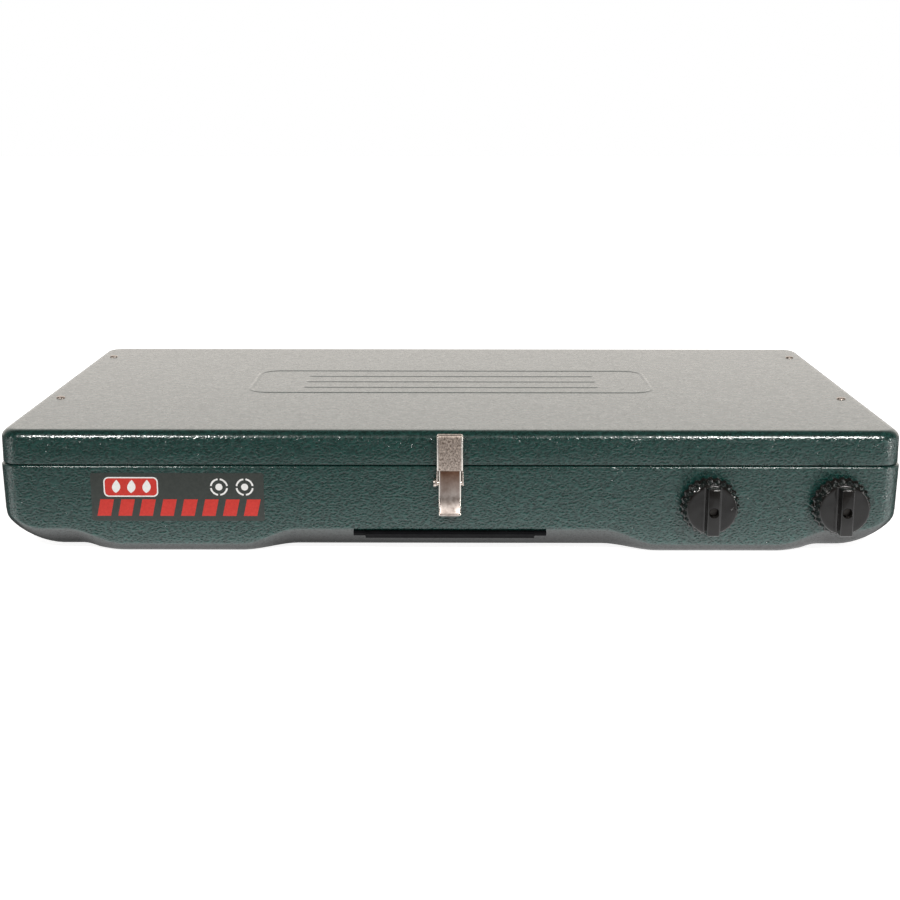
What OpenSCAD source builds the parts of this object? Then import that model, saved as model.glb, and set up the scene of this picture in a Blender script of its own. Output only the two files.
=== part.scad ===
// Two-burner folding camp stove, closed for carrying.
// Millimetres, +Z up. The origin is the centre of the footprint, on the table under the feet.
// +X is the gas side (knobs and gas inlet), -Y is the front with the latch and the knobs.

/* [Case] */
// Width of the case at its rim
case_w = 564; // [558:1:572]
// Depth of the case at its rim
case_d = 326; // [320:1:332]
// Height of the seam between case and lid above the table
seam_z = 57; // [56.5:0.5:58]
// Height of the closed lid above the seam
lid_h = 22; // [21.5:0.5:24]
// Radius of the upright corners
corner_r = 14; // [12:1:16]
// Thickness of the painted steel sheet
sheet_t = 1; // [0.9:0.05:1.1]
// Radius of the bend round the lid's top
lid_bend_r = 6; // [5:0.5:7]
// Width and depth of the raised frame pressed into the lid's top
frame_w = 286; // [240:2:300]
frame_d = 90; // [70:2:100]

/* [Front] */
// Centre of the left knob and of the right knob, from the middle of the stove
knob_x = [161.5, 243];
// Height of the knobs' axes above the table
knob_z = 33; // [32.5:0.5:33.5]
// How far a knob's grip stands out of the case
knob_reach = 22; // [21:0.5:24]
// Diameter of the knob's toothed skirt, and of its face
knob_skirt_d = 37; // [34:0.5:38]
knob_face_d = 31; // [28:0.5:32]
// Width of the latch's hook plate, and of its lever
hook_w = 16.6; // [16.2:0.1:17]
lever_w = 14.2; // [13.8:0.1:14.4]
// Length of the carry handle's grip
grip_w = 106; // [100:1:108]
// Width and height of the front label
label_w = 108; // [90:1:110]
label_h = 31; // [26:1:31]

/* [Cooking] */
// Burner centres, from the middle of the stove
burner_x = 132; // [130:1:136]
// Outer diameter of a burner's cap
burner_cap_d = 84; // [78:1:88]
// Diameter of the dished bowl round each burner
bowl_d = 156; // [150:1:158]
// Wires that run front to back in the grate
grate_wires = 17; // [13:2:19]
// Diameter of the grate's frame wire, and of its cross wires
frame_wire_d = 5; // [4.6:0.1:5]
cross_wire_d = 4; // [3.6:0.1:4.2]

/* [Hidden] */
$fn = 48;
eps = 0.01;
fixed_gap = 0.01;      // radial gap of a pin that stays still in its hole
running_gap = 0.05;    // radial gap of a pin that turns in its hole
through = 400;         // longer than anything that is cut through

// Knuckle hinges on the rear wall
knuckle_r = 3.2;
hinge_out = 3.5;                       // axis behind the case's rear wall
hinge_x = 190;
hinge_pin_r = 1.5;
hinge_reach = hinge_out + knuckle_r;

// Front to back, with the whole object centred on y = 0
y_front = -(knob_reach + case_d + hinge_reach) / 2 + knob_reach;
y_rear = y_front + case_d;
y_mid = (y_front + y_rear) / 2;
hinge_y = y_rear + hinge_out;

// Pressed case
wall_draft = 1.2;                      // how far the walls lean in over their height
sill_z = 16.4;                         // where the wall turns under
side_sill_z = 21;                      // the same at the two ends, which slope in more gently
side_turn_in = 5.5;                    // how far the ends have come in at the sill's height
side_floor_in = 18;                    // and how much further in they meet the underside
floor_z = 3.6;
sill_turn = sill_z - floor_z;
runner_sill_z = 6.6;
runner_z = 1;                          // underside of the two pressed runners
runner_turn = runner_sill_z - runner_z;
runner_x = 168;
runner_top_w = 141;
runner_low_w = 76;
lid_inset = 1;                         // the lid is this much smaller than the case all round
lid_gap = 0.2;                         // seam between the lid's edge and the case's shoulder
upstand_h = 7;                         // flange inside the lid
upstand_in = lid_inset + sheet_t + 0.4;
lid_z = seam_z + lid_gap;
top_z = seam_z + lid_h;
ridge_h = 0.7;                         // height of the ridges pressed into the lid
ridge_w = 2.4;

// Feet
foot_x = 233;
foot_y_in = 33;
foot_r = 9;
foot_stem_r = 3;

// Drip tray
tray_t = 0.8;
tray_rim_z = 51;
tray_floor_z = 43;
bowl_z = 35;
tray_gap = 3.5;                        // from the case's wall to the tray's flange
well_x = case_w / 2 - 13;
well_front = y_front + 46;
well_rear = y_rear - 12;
burner_y = (well_front + well_rear) / 2;
pocket_w = 76;
pocket_front = y_front + 80;
pocket_rear = y_front + 290;
pocket_z = 16;
bracket_y = [y_front + 70, y_front + 250];
bracket_screw_r = 1.8;
bracket_screw_x = case_w / 2 - 5.8;

// Burners
burner_cap_r = burner_cap_d / 2;
neck_r = 14;
neck_base_z = 13.5;
tray_hole_r = neck_r + fixed_gap;
burner_wall = 1.2;
port_count = 24;
cap_z = 44.2;
burner_screw_r = 2;

// Valves, jets, gas rail and mixing tubes
valve_w = 16;
valve_front = y_front + 2;
valve_rear = y_front + 32;
valve_neck_r = 6;
stem_r = 3;
knob_screw_r = 1.5;
rail_r = 4;
rail_y = y_front + 24;
mixer_r = 7.5;
mixer_wall = 1;
mixer_low_z = 24;
inlet_r = 5;                           // bore that takes the regulator's plug
inlet_depth = 14;

// Latch, measured outwards from the case's front face
latch_pin_r = 1.5;
lever_axis_out = 2.6;
lever_axis_z = seam_z - 3.5;
hook_axis_out = 3;
hook_axis_z = seam_z - 9.7;
lever_plate_out = 5.6;
hook_plate_out = 7.2;
latch_t = 1;
hook_top_z = top_z - 0.9;
hook_plate_low_z = seam_z - 1.4;
lever_low_z = seam_z - 29.8;
catch_w = 15.4;

// Carry handle
grip_low_z = 10.4;
grip_high_z = 15.2;
arm_x = 57;
arm_w = 7;
arm_t = 2;
arm_z = 13;
arm_end_y = y_front + 48;
guide_front = y_front + 14.8;
guide_d = 3.8;
stop_pin_r = 1.4;

// Grate
grate_front = y_front + 41;
grate_rear = y_rear - 7;
grate_x = case_w / 2 - 11.5;
grate_bend_r = 14;
frame_wire_r = frame_wire_d / 2;
cross_wire_r = cross_wire_d / 2;
frame_wire_z = tray_rim_z + frame_wire_r + 0.02;
cross_wire_z = frame_wire_z + 2.6;
clip_x = grate_x * 11 / (grate_wires + 1);   // midway between two wires

// Windscreens folded flat in the lid
rod_r = 1.5;
rod_x = 260.5;
rod_z = top_z - sheet_t - 3.1;
screen_rivet_x = 267.5;
screen_rivet_y = [y_front + 109, y_front + 280];
screen_t = 0.8;
screen_front = y_front + 95;
screen_rear = y_front + 294;
screen_inner_x = 4;
rivet_r = 1.6;

// Stored regulator
regulator_r = 15;
regulator_x = 0;
regulator_front = y_front + 222;
regulator_rear = y_front + 262;
regulator_z = pocket_z + regulator_r + 0.2;
hose_r = 4;
plug_y = regulator_front - 118;

paint = "#24524a";
aluminised = "#b9bcbb";
chrome = "#d6d4cf";
nickel = "#cdbfb2";
brass = "#c2a35a";
black_plastic = "#1c1b1b";
rubber = "#141414";

// ---------- shared shapes ----------

module rounded_rect(w, d, r) {
    square([w - 2 * r, d], center = true);
    square([w, d - 2 * r], center = true);
    for (sx = [-1, 1], sy = [-1, 1])
        translate([sx * (w / 2 - r), sy * (d / 2 - r)]) circle(r);
}

// A plate of the case's plan, drawn in by inset (and the two ends by side_in more), from z0 up by h
module plan_plate(inset, z0, h, r = corner_r, side_in = 0) {
    translate([0, y_mid, z0])
        linear_extrude(h)
            rounded_rect(case_w - 2 * (inset + side_in), case_d - 2 * inset, max(r - inset, 2), $fn = 32);
}

module rect_plate(x0, x1, y0, y1, r, z0, h) {
    translate([(x0 + x1) / 2, (y0 + y1) / 2, z0])
        linear_extrude(h) rounded_rect(x1 - x0, y1 - y0, r);
}

module box(x, y, z) {
    translate([x[0], y[0], z[0]]) cube([x[1] - x[0], y[1] - y[0], z[1] - z[0]]);
}

module cyl_x(x0, x1, y, z, r) {
    translate([x0, y, z]) rotate([0, 90, 0]) cylinder(h = x1 - x0, r = r);
}

module cyl_y(x, y0, y1, z, r) {
    translate([x, y0, z]) rotate([-90, 0, 0]) cylinder(h = y1 - y0, r = r);
}

module cyl_z(x, y, z0, z1, r) {
    translate([x, y, z0]) cylinder(h = z1 - z0, r = r);
}

// A quarter bend of round wire in a horizontal plane, its centre at x, y
module wire_bend(x, y, z, start, bend_r, r) {
    translate([x, y, z]) rotate([0, 0, start])
        rotate_extrude(angle = 90) translate([bend_r, 0]) circle(r);
}

// A rivet along -Z from a surface at z: domed head above, flat tail below
module rivet_down(x, y, z, grip, r, head_r = 3, head_h = 1.2) {
    translate([x, y, z]) {
        cylinder(h = head_h, r1 = head_r, r2 = head_r * 0.55);
        translate([0, 0, -grip]) cylinder(h = grip, r = r);
        translate([0, 0, -grip - 0.9]) cylinder(h = 0.9, r = r * 1.5);
    }
}

// ---------- pressed case ----------

// The case's outside form, or its inside when inset is the sheet's thickness
module case_form(inset) {
    turn_in = 0.41 * inset;
    hull() {
        plan_plate(inset, seam_z - eps, eps);
        plan_plate(inset + wall_draft, side_sill_z + turn_in, eps);
        plan_plate(inset + wall_draft, sill_z + turn_in, eps, r = corner_r + 4, side_in = side_turn_in);
        plan_plate(wall_draft + sill_turn + turn_in, floor_z + inset, eps, r = corner_r + 12,
                   side_in = side_floor_in);
    }
    for (side = [-1, 1])
        hull() {
            runner_slice(side, runner_top_w, wall_draft + inset, sill_z + turn_in + 0.3, inset);
            runner_slice(side, runner_low_w, wall_draft + inset, runner_sill_z + turn_in, inset);
            runner_slice(side, runner_low_w - 10, wall_draft + runner_turn + turn_in,
                         runner_z + inset, inset);
        }
}

// One level of a runner: a strip from front wall to rear wall
module runner_slice(side, w, end_in, z, inset) {
    translate([side * runner_x - w / 2 + inset, y_front + end_in, z])
        cube([w - 2 * inset, case_d - 2 * end_in, eps]);
}

module lower_case() {
    color(paint)
    difference() {
        union() {
            difference() {
                case_form(0);
                case_form(sheet_t);
            }
            // shoulder under the lid's edge, and the upstand inside the lid
            difference() {
                plan_plate(0, seam_z - sheet_t, sheet_t);
                plan_plate(upstand_in + sheet_t, 0, through);
            }
            difference() {
                plan_plate(upstand_in, seam_z - sheet_t, sheet_t + upstand_h);
                plan_plate(upstand_in + sheet_t, 0, through);
            }
        }
        for (x = knob_x) cyl_y(x, y_front - 5, y_front + 8, knob_z, valve_neck_r + 0.3);
        cyl_x(case_w / 2 - 6, case_w / 2 + 5, rail_y, knob_z, 10.3);
        for (side = [-1, 1]) {
            box([side * arm_x - arm_w / 2 - 0.8, side * arm_x + arm_w / 2 + 0.8],
                [y_front - 2, y_front + 12], [arm_z - 1.8, arm_z + 1.8]);
            for (y = foot_ys()) cyl_z(side * foot_x, y, 0, 12, foot_stem_r + fixed_gap);
            for (dx = [-14, 14])
                cyl_y(side * hinge_x + dx, y_rear - 5, y_rear + 3, seam_z - 11, rivet_r + fixed_gap);
        }
        for (z = latch_base_rivet_z()) cyl_y(0, y_front - 4, y_front + 4, z, rivet_r + fixed_gap);
    }
}

function foot_ys() = [y_front + foot_y_in, y_rear - foot_y_in];

module rubber_feet() {
    color(rubber)
    for (side = [-1, 1], y = foot_ys()) {
        cyl_z(side * foot_x, y, floor_z - 1, floor_z + 3.5, foot_stem_r);
        translate([side * foot_x, y, 0]) cylinder(h = floor_z, r1 = foot_r - 1, r2 = foot_r);
        translate([side * foot_x, y, floor_z + sheet_t + 0.1])
            cylinder(h = 2.4, r1 = foot_stem_r + 1.2, r2 = foot_stem_r - 0.5);
    }
}

// ---------- drip tray ----------

// The tray's body, drawn in by t on all sides
module tray_form(t) {
    rect_plate(-well_x + t, well_x - t, well_front + t, well_rear - t, 10 - t,
               tray_floor_z - tray_t + t, tray_rim_z - tray_floor_z + tray_t + t);
    for (side = [-1, 1])
        translate([side * burner_x, burner_y, bowl_z - tray_t + t])
            cylinder(h = tray_floor_z - bowl_z, r1 = bowl_d / 2 - 7 - t, r2 = bowl_d / 2 - t);
    rect_plate(-pocket_w / 2 + t, pocket_w / 2 - t, pocket_front + t, pocket_rear - t, 8 - t,
               pocket_z - tray_t + t, tray_floor_z - pocket_z + tray_t);
}

module drip_tray() {
    color(aluminised)
    difference() {
        union() {
            tray_form(0);
            plan_plate(tray_gap, tray_rim_z - tray_t, tray_t);
        }
        tray_form(tray_t);
        for (side = [-1, 1]) {
            cyl_z(side * burner_x, burner_y, 0, 60, tray_hole_r);
            for (y = bracket_y)
                cyl_z(side * bracket_screw_x, y, 45, 60, bracket_screw_r + fixed_gap);
        }
    }
}

module tray_brackets() {
    tab_top = tray_rim_z - tray_t;
    color(aluminised)
    for (side = [-1, 1], y = bracket_y)
        difference() {
            union() {
                translate([side * (case_w / 2 - 2.6), y, tab_top - 9])
                    cube([1.2, 14, 18], center = true);
                translate([side * (case_w / 2 - 7.1), y, tab_top - 0.6])
                    cube([10.2, 14, 1.2], center = true);
            }
            cyl_z(side * bracket_screw_x, y, 40, 60, bracket_screw_r + fixed_gap);
        }
}

module tray_screws() {
    color(nickel)
    for (side = [-1, 1], y = bracket_y) {
        cyl_z(side * bracket_screw_x, y, tray_rim_z, tray_rim_z + 1.4, 2.2);
        cyl_z(side * bracket_screw_x, y, tray_rim_z - 7, tray_rim_z, bracket_screw_r);
    }
}

// ---------- grate ----------

module cooking_grate() {
    straight_x = grate_x - grate_bend_r;
    front_y = grate_front + grate_bend_r;
    rear_y = grate_rear - grate_bend_r;
    color(chrome)
    union() {
        for (y = [grate_front, grate_rear, grate_front + 88, grate_rear - 88])
            let (x = (y == grate_front || y == grate_rear) ? straight_x : grate_x)
                cyl_x(-x, x, y, frame_wire_z, frame_wire_r);
        for (side = [-1, 1]) cyl_y(side * grate_x, front_y, rear_y, frame_wire_z, frame_wire_r);
        wire_bend(straight_x, rear_y, frame_wire_z, 0, grate_bend_r, frame_wire_r);
        wire_bend(-straight_x, rear_y, frame_wire_z, 90, grate_bend_r, frame_wire_r);
        wire_bend(-straight_x, front_y, frame_wire_z, 180, grate_bend_r, frame_wire_r);
        wire_bend(straight_x, front_y, frame_wire_z, 270, grate_bend_r, frame_wire_r);
        for (i = [1 : grate_wires])
            cyl_y(-grate_x + i * 2 * grate_x / (grate_wires + 1),
                  grate_front - 1, grate_rear + 1, cross_wire_z, cross_wire_r);
    }
}

module grate_clips() {
    color(aluminised)
    for (side = [-1, 1])
        difference() {
            union() {
                cyl_x(side * clip_x - 5, side * clip_x + 5, grate_rear, frame_wire_z, frame_wire_r + 1.3);
                box([side * clip_x - 5, side * clip_x + 5],
                    [grate_rear - 10, grate_rear], [tray_rim_z, tray_rim_z + 1]);
            }
            cyl_x(side * clip_x - 8, side * clip_x + 8, grate_rear, frame_wire_z, frame_wire_r + 0.3);
            box([side * clip_x - 8, side * clip_x + 8], [grate_rear - 20, grate_rear + 20],
                [tray_rim_z - 5, tray_rim_z]);
        }
}

// ---------- burners ----------

module burner_body(side) {
    bell_r = burner_cap_r - 4;
    color(aluminised)
    translate([side * burner_x, burner_y, 0])
    difference() {
        union() {
            rotate_extrude() polygon([
                [0, neck_base_z], [neck_r, neck_base_z], [neck_r, bowl_z + 0.02], [neck_r + 4, 38],
                [bell_r - 3, 39.6], [bell_r, 41], [bell_r, cap_z], [bell_r - burner_wall, cap_z],
                [bell_r - burner_wall, 42], [bell_r - 4, 40.8], [neck_r + 3, 39.2],
                [neck_r - burner_wall, 36], [neck_r - burner_wall, neck_base_z + burner_wall],
                [0, neck_base_z + burner_wall]
            ]);
            cyl_z(0, 0, neck_base_z + eps, cap_z, 4.5);
        }
        cyl_z(0, 0, 30, 60, burner_screw_r + fixed_gap);
        cyl_y(0, -neck_r - 5, -neck_r + 4, mixer_low_z, mixer_r + fixed_gap);
        for (i = [0 : port_count - 1])
            rotate([0, 0, i * 360 / port_count])
                translate([bell_r, 0, cap_z - 0.6]) cube([6, 3.2, 2.6], center = true);
    }
}

module burner_cap(side) {
    color(aluminised)
    translate([side * burner_x, burner_y, cap_z])
    difference() {
        union() {
            cylinder(h = 1, r = burner_cap_r);
            translate([0, 0, 1]) cylinder(h = 2, r1 = burner_cap_r - 1.5, r2 = burner_cap_r - 16);
        }
        translate([0, 0, -1]) cylinder(h = 10, r = burner_screw_r + fixed_gap);
        translate([0, 0, 2]) cylinder(h = 3, r = 6);
    }
}

module burner_screws() {
    color(nickel)
    for (side = [-1, 1]) {
        cyl_z(side * burner_x, burner_y, cap_z + 2, cap_z + 4, 4);
        cyl_z(side * burner_x, burner_y, cap_z - 8, cap_z + 2, burner_screw_r);
    }
}

// ---------- gas train ----------

// A mixing tube's form, drawn in by t: back from its valve, across to its burner, back to the neck,
// with a round elbow drum at each corner
module mixer_form(x, side, t) {
    across_y = y_front + (side < 0 ? 58 : 90);
    drum_r = mixer_r + 1.5 - t;
    low_z = mixer_low_z - drum_r;
    cyl_y(x, valve_rear, across_y, knob_z, mixer_r - t);
    cyl_z(x, across_y, low_z, knob_z + drum_r - 0.5, drum_r);
    cyl_x(side * burner_x, x, across_y, mixer_low_z, mixer_r - t);
    cyl_z(side * burner_x, across_y, low_z, mixer_low_z + drum_r, drum_r);
    cyl_y(side * burner_x, across_y, burner_y - neck_r + 1.2, mixer_low_z, mixer_r - t);
}

module mixer_tube(x, side) {
    color(aluminised)
    difference() {
        mixer_form(x, side, 0);
        mixer_form(x, side, mixer_wall);
        // open ends, and the air windows beside the jet
        cyl_y(x, valve_rear - 2, valve_rear + 4, knob_z, mixer_r - mixer_wall);
        cyl_y(side * burner_x, burner_y - neck_r - 4, burner_y, mixer_low_z, mixer_r - mixer_wall);
        cyl_x(x - 20, x + 20, valve_rear + 9, knob_z, 3.2);
    }
}

module valve_body(x) {
    color(brass)
    difference() {
        union() {
            box([x - valve_w / 2, x + valve_w / 2], [valve_front, valve_rear],
                [knob_z - valve_w / 2, knob_z + valve_w / 2]);
            cyl_y(x, y_front - 4, valve_front + 1, knob_z, valve_neck_r);
        }
        cyl_y(x, y_front - 6, valve_front + 22, knob_z, stem_r + running_gap);
        cyl_y(x, valve_rear - 5, valve_rear + 1, knob_z, 3 + fixed_gap);
        for (end = valve_ports(x))
            cyl_x(min(end), max(end), rail_y, knob_z - 4.4, rail_r - 1);
    }
}

// Side ports of a valve body: the left valve is the end of the rail, so it has one
function valve_ports(x) = x == knob_x[0]
    ? [[x + 2, x + valve_w]] : [[x - valve_w, x - 2], [x + 2, x + valve_w]];

module valve_nuts() {
    color(brass)
    for (x = knob_x)
        difference() {
            translate([x, y_front - 2.5, knob_z]) rotate([-90, 0, 0]) cylinder(h = 2.9, r = 8.6, $fn = 6);
            cyl_y(x, y_front - 5, y_front + 2, knob_z, valve_neck_r + fixed_gap);
        }
}

module gas_jets() {
    color(brass)
    for (x = knob_x)
        difference() {
            union() {
                cyl_y(x, valve_rear - 5, valve_rear, knob_z, 3);
                cyl_y(x, valve_rear, valve_rear + 5, knob_z, 4);
            }
            cyl_y(x, valve_rear - 6, valve_rear + 8, knob_z, 0.8);
        }
}

// Tubes between the valves, and from the right valve to the inlet
module gas_rail() {
    port_z = knob_z - 4.4;
    color(nickel)
    for (span = [[knob_x[0] + valve_w / 2, knob_x[1] - valve_w / 2],
                 [knob_x[1] + valve_w / 2, inlet_x() - inlet_depth - 4]])
        difference() {
            cyl_x(span[0], span[1], rail_y, port_z, rail_r);
            cyl_x(span[0] - 1, span[1] + 1, rail_y, port_z, rail_r - 1);
        }
}

function inlet_x() = case_w / 2 - 0.6;

module inlet_fitting() {
    x = inlet_x();
    color(brass)
    difference() {
        union() {
            cyl_x(x - inlet_depth - 2, x, rail_y, knob_z, 9);
            cyl_x(x - inlet_depth - 4, x - 1.6, rail_y, knob_z, 11);
        }
        cyl_x(x - inlet_depth, x + 2, rail_y, knob_z, inlet_r);
        cyl_x(x - inlet_depth - 6, x - inlet_depth + 1, rail_y, knob_z - 2.4, 1.5);
    }
}

module regulator_body() {
    color(aluminised)
    difference() {
        union() {
            cyl_y(regulator_x, regulator_front, regulator_rear, regulator_z, regulator_r - 2);
            cyl_y(regulator_x, regulator_front + 6, regulator_front + 20, regulator_z, regulator_r);
            cyl_y(regulator_x, regulator_rear - 14, regulator_rear, regulator_z, regulator_r);
            cyl_y(regulator_x, regulator_front - 8, regulator_front + 1, regulator_z, 7);
        }
        cyl_y(regulator_x, regulator_rear - 14, regulator_rear + 1, regulator_z, 12);
        cyl_y(regulator_x, regulator_front - 10, regulator_front + 4, regulator_z, hose_r + fixed_gap);
    }
}

module regulator_tube() {
    color(nickel)
    cyl_y(regulator_x, plug_y, regulator_front + 3, regulator_z, hose_r);
}

module regulator_plug() {
    color(brass)
    difference() {
        union() {
            cyl_y(regulator_x, plug_y - 16, plug_y + 2, regulator_z, inlet_r - 0.25);
            translate([regulator_x, plug_y - 4, regulator_z])
                rotate([-90, 0, 0]) cylinder(h = 12, r = 9, $fn = 6);
        }
        cyl_y(regulator_x, plug_y - 0.5, plug_y + 24, regulator_z, hose_r + fixed_gap);
    }
}

// ---------- knobs and stems ----------

module knob(x) {
    skirt_r = knob_skirt_d / 2;
    face_r = knob_face_d / 2;
    skirt_back = y_front - 1.5;
    face_y = y_front - knob_reach + 8;
    teeth = 24;
    color(black_plastic)
    difference() {
        union() {
            translate([x, face_y, knob_z]) rotate([-90, 0, 0])
                cylinder(h = skirt_back - 3 - face_y, r1 = face_r, r2 = skirt_r - 1.5);
            cyl_y(x, skirt_back - 3.2, skirt_back, knob_z, skirt_r - 1.2);
            for (i = [0 : teeth - 1])
                translate([x, skirt_back - 3, knob_z]) rotate([0, i * 360 / teeth, 0])
                    box([skirt_r - 2.5, skirt_r], [0, 3], [-1.3, 1.3]);
            box([x - 4, x + 4], [y_front - knob_reach, face_y + 2], [knob_z - 15, knob_z + 15]);
        }
        cyl_y(x, y_front - 6, y_front, knob_z, 12);
        cyl_y(x, face_y + 3, y_front, knob_z, stem_r + fixed_gap);
        cyl_y(x, y_front - knob_reach - 1, face_y + 5, knob_z, knob_screw_r + fixed_gap);
        cyl_y(x, y_front - knob_reach - 1, face_y - 2, knob_z, 2.9);
    }
}

module knob_screw(x) {
    face_y = y_front - knob_reach + 8;
    color(nickel)
    union() {
        cyl_y(x, face_y - 3.6, face_y - 2, knob_z, 2.6);
        cyl_y(x, face_y - 2, face_y + 9, knob_z, knob_screw_r);
    }
}

module valve_stem(x) {
    face_y = y_front - knob_reach + 8;
    color(brass)
    difference() {
        cyl_y(x, face_y + 3.2, valve_front + 20, knob_z, stem_r);
        cyl_y(x, face_y + 2, face_y + 10, knob_z, knob_screw_r + fixed_gap);
    }
}

// ---------- draw latch ----------

function latch_base_rivet_z() = [seam_z - 14.5, seam_z - 20];

module latch_base() {
    ear_x = lever_w / 2 - latch_t - 1.4;
    color(nickel)
    difference() {
        union() {
            box([-ear_x, ear_x], [y_front - 1, y_front - 0.05], [seam_z - 23, seam_z - 1.5]);
            for (side = [-1, 1]) {
                x = side * (ear_x - 0.5);
                cyl_x(x - 0.5, x + 0.5, y_front - lever_axis_out, lever_axis_z, 1.9);
                box([x - 0.5, x + 0.5], [y_front - lever_axis_out, y_front - 0.1],
                    [lever_axis_z - 1.9, lever_axis_z + 1.9]);
            }
        }
        cyl_x(-20, 20, y_front - lever_axis_out, lever_axis_z, latch_pin_r - 0.5 + fixed_gap);
        for (z = latch_base_rivet_z()) cyl_y(0, y_front - 4, y_front + 4, z, rivet_r + fixed_gap);
    }
}

module latch_base_rivets() {
    color(nickel)
    for (z = latch_base_rivet_z()) {
        cyl_y(0, y_front - 2, y_front - 1, z, 2.6);
        cyl_y(0, y_front - 1.2, y_front + 2, z, rivet_r);
        cyl_y(0, y_front + 2, y_front + 2.8, z, 2.6);
    }
}

module latch_lever_pin() {
    color(nickel)
    cyl_x(-lever_w / 2 + 0.2, lever_w / 2 - 0.2, y_front - lever_axis_out, lever_axis_z,
          latch_pin_r - 0.5);
}

// Lever: a channel that hangs down over the base, its tip turned out for a finger
module latch_lever() {
    half = lever_w / 2;
    top = lever_axis_z + 1.8;
    tip_z = lever_low_z + 9;
    flare = 24;
    color(nickel)
    difference() {
        union() {
            box([-half, half], [y_front - lever_plate_out, y_front - lever_plate_out + latch_t],
                [tip_z, top]);
            for (side = [-1, 1])
                translate([side * (half - latch_t / 2) - latch_t / 2, y_front - lever_plate_out, tip_z])
                    cube([latch_t, lever_plate_out - 0.9, top - tip_z]);
            translate([-half, y_front - lever_plate_out + latch_t, tip_z])
                rotate([-flare, 0, 0]) translate([0, -latch_t, -9.6])
                    cube([lever_w, latch_t, 10]);
        }
        cyl_x(-20, 20, y_front - lever_axis_out, lever_axis_z, latch_pin_r - 0.5 + running_gap);
        cyl_x(-20, 20, y_front - hook_axis_out, hook_axis_z, latch_pin_r + fixed_gap);
    }
}

module latch_hook_pin() {
    half = hook_w / 2;
    color(nickel)
    union() {
        cyl_x(-half - 0.3, half + 0.1, y_front - hook_axis_out, hook_axis_z, latch_pin_r);
        cyl_x(-half - 1.8, -half - 0.3, y_front - hook_axis_out, hook_axis_z, 2.6);
    }
}

// Hook plate: reaches up over the lid's catch, its two ears on the lever's pin
module latch_hook() {
    half = hook_w / 2;
    color(nickel)
    difference() {
        union() {
            box([-half, half], [y_front - hook_plate_out, y_front - hook_plate_out + latch_t],
                [hook_plate_low_z, hook_top_z]);
            // lip over the catch
            box([-half, half], [y_front - hook_plate_out, y_front - 2.2],
                [hook_top_z - latch_t, hook_top_z]);
            for (side = [-1, 1]) {
                translate([side * (half - latch_t / 2) - latch_t / 2, y_front - hook_plate_out,
                           hook_plate_low_z])
                    cube([latch_t, hook_plate_out - 1.8, hook_top_z - hook_plate_low_z]);
                translate([side * (half - latch_t / 2) - latch_t / 2, y_front - hook_axis_out - 2.2,
                           hook_axis_z - 2.2])
                    cube([latch_t, 4, hook_plate_low_z - hook_axis_z + 2.3]);
            }
        }
        cyl_x(-20, 20, y_front - hook_axis_out, hook_axis_z, latch_pin_r + running_gap);
    }
}

// Catch on the lid: a plate with a ledge that the hook's lip covers
module latch_catch() {
    face = y_front + lid_inset;
    color(nickel)
    difference() {
        union() {
            box([-catch_w / 2, catch_w / 2], [face - 0.9, face - 0.02], [lid_z + 9, hook_top_z - 2.2]);
            box([-hook_w / 2 + 1.6, hook_w / 2 - 1.6], [face - 2.7, face - 0.1],
                [hook_top_z - 3.4, hook_top_z - 2.2]);
        }
        for (side = [-1, 1])
            cyl_y(side * 4.5, face - 5, face + 5, lid_z + 12, 1.2 + fixed_gap);
    }
}

module latch_catch_rivets() {
    face = y_front + lid_inset;
    color(nickel)
    for (side = [-1, 1]) {
        cyl_y(side * 4.5, face - 1.7, face - 0.9, lid_z + 12, 2);
        cyl_y(side * 4.5, face - 0.9, face + sheet_t, lid_z + 12, 1.2);
        cyl_y(side * 4.5, face + sheet_t, face + sheet_t + 0.8, lid_z + 12, 2);
    }
}

// ---------- carry handle ----------

// Front-to-back position of the sloping sill at height z
function sill_y(z) = y_front + wall_draft + sill_z - z;

module carry_handle() {
    color(black_plastic)
    difference() {
        union() {
            translate([-grip_w / 2, 0, 0]) rotate([90, 0, 90]) linear_extrude(grip_w)
                polygon([
                    [sill_y(grip_high_z) - 0.2, grip_high_z], [sill_y(grip_low_z) - 0.2, grip_low_z],
                    [sill_y(grip_low_z) - 4.5, grip_low_z - 0.4], [y_front - 0.6, grip_high_z - 1.8],
                    [y_front - 0.6, grip_high_z]
                ]);
            // tabs at the ends, where the arms start
            translate([-arm_x - arm_w / 2, 0, 0]) rotate([90, 0, 90]) linear_extrude(2 * arm_x + arm_w)
                polygon([
                    [sill_y(grip_high_z) - 0.2, grip_high_z], [sill_y(12) - 0.2, 12],
                    [y_front + 1.2, 12], [y_front, grip_high_z - 1.4], [y_front, grip_high_z]
                ]);
            for (side = [-1, 1])
                translate([side * arm_x - arm_w / 2, sill_y(arm_z) - 2.6, arm_z - arm_t / 2])
                    cube([arm_w, arm_end_y - sill_y(arm_z) + 2.6, arm_t]);
        }
        for (side = [-1, 1])
            cyl_z(side * arm_x, arm_end_y - 3.5, 0, 30, stop_pin_r + fixed_gap);
    }
}

module handle_stop_pins() {
    color(nickel)
    for (side = [-1, 1]) cyl_z(side * arm_x, arm_end_y - 3.5, arm_z - 3.4, arm_z + 3.4, stop_pin_r);
}

module handle_guides() {
    color(aluminised)
    for (side = [-1, 1])
        difference() {
            box([side * arm_x - 7, side * arm_x + 7], [guide_front, guide_front + guide_d],
                [floor_z + sheet_t, arm_z + 3.5]);
            box([side * arm_x - arm_w / 2 - 0.3, side * arm_x + arm_w / 2 + 0.3],
                [guide_front - 1, guide_front + guide_d + 1],
                [arm_z - arm_t / 2 - 0.3, arm_z + arm_t / 2 + 0.3]);
        }
}

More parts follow.
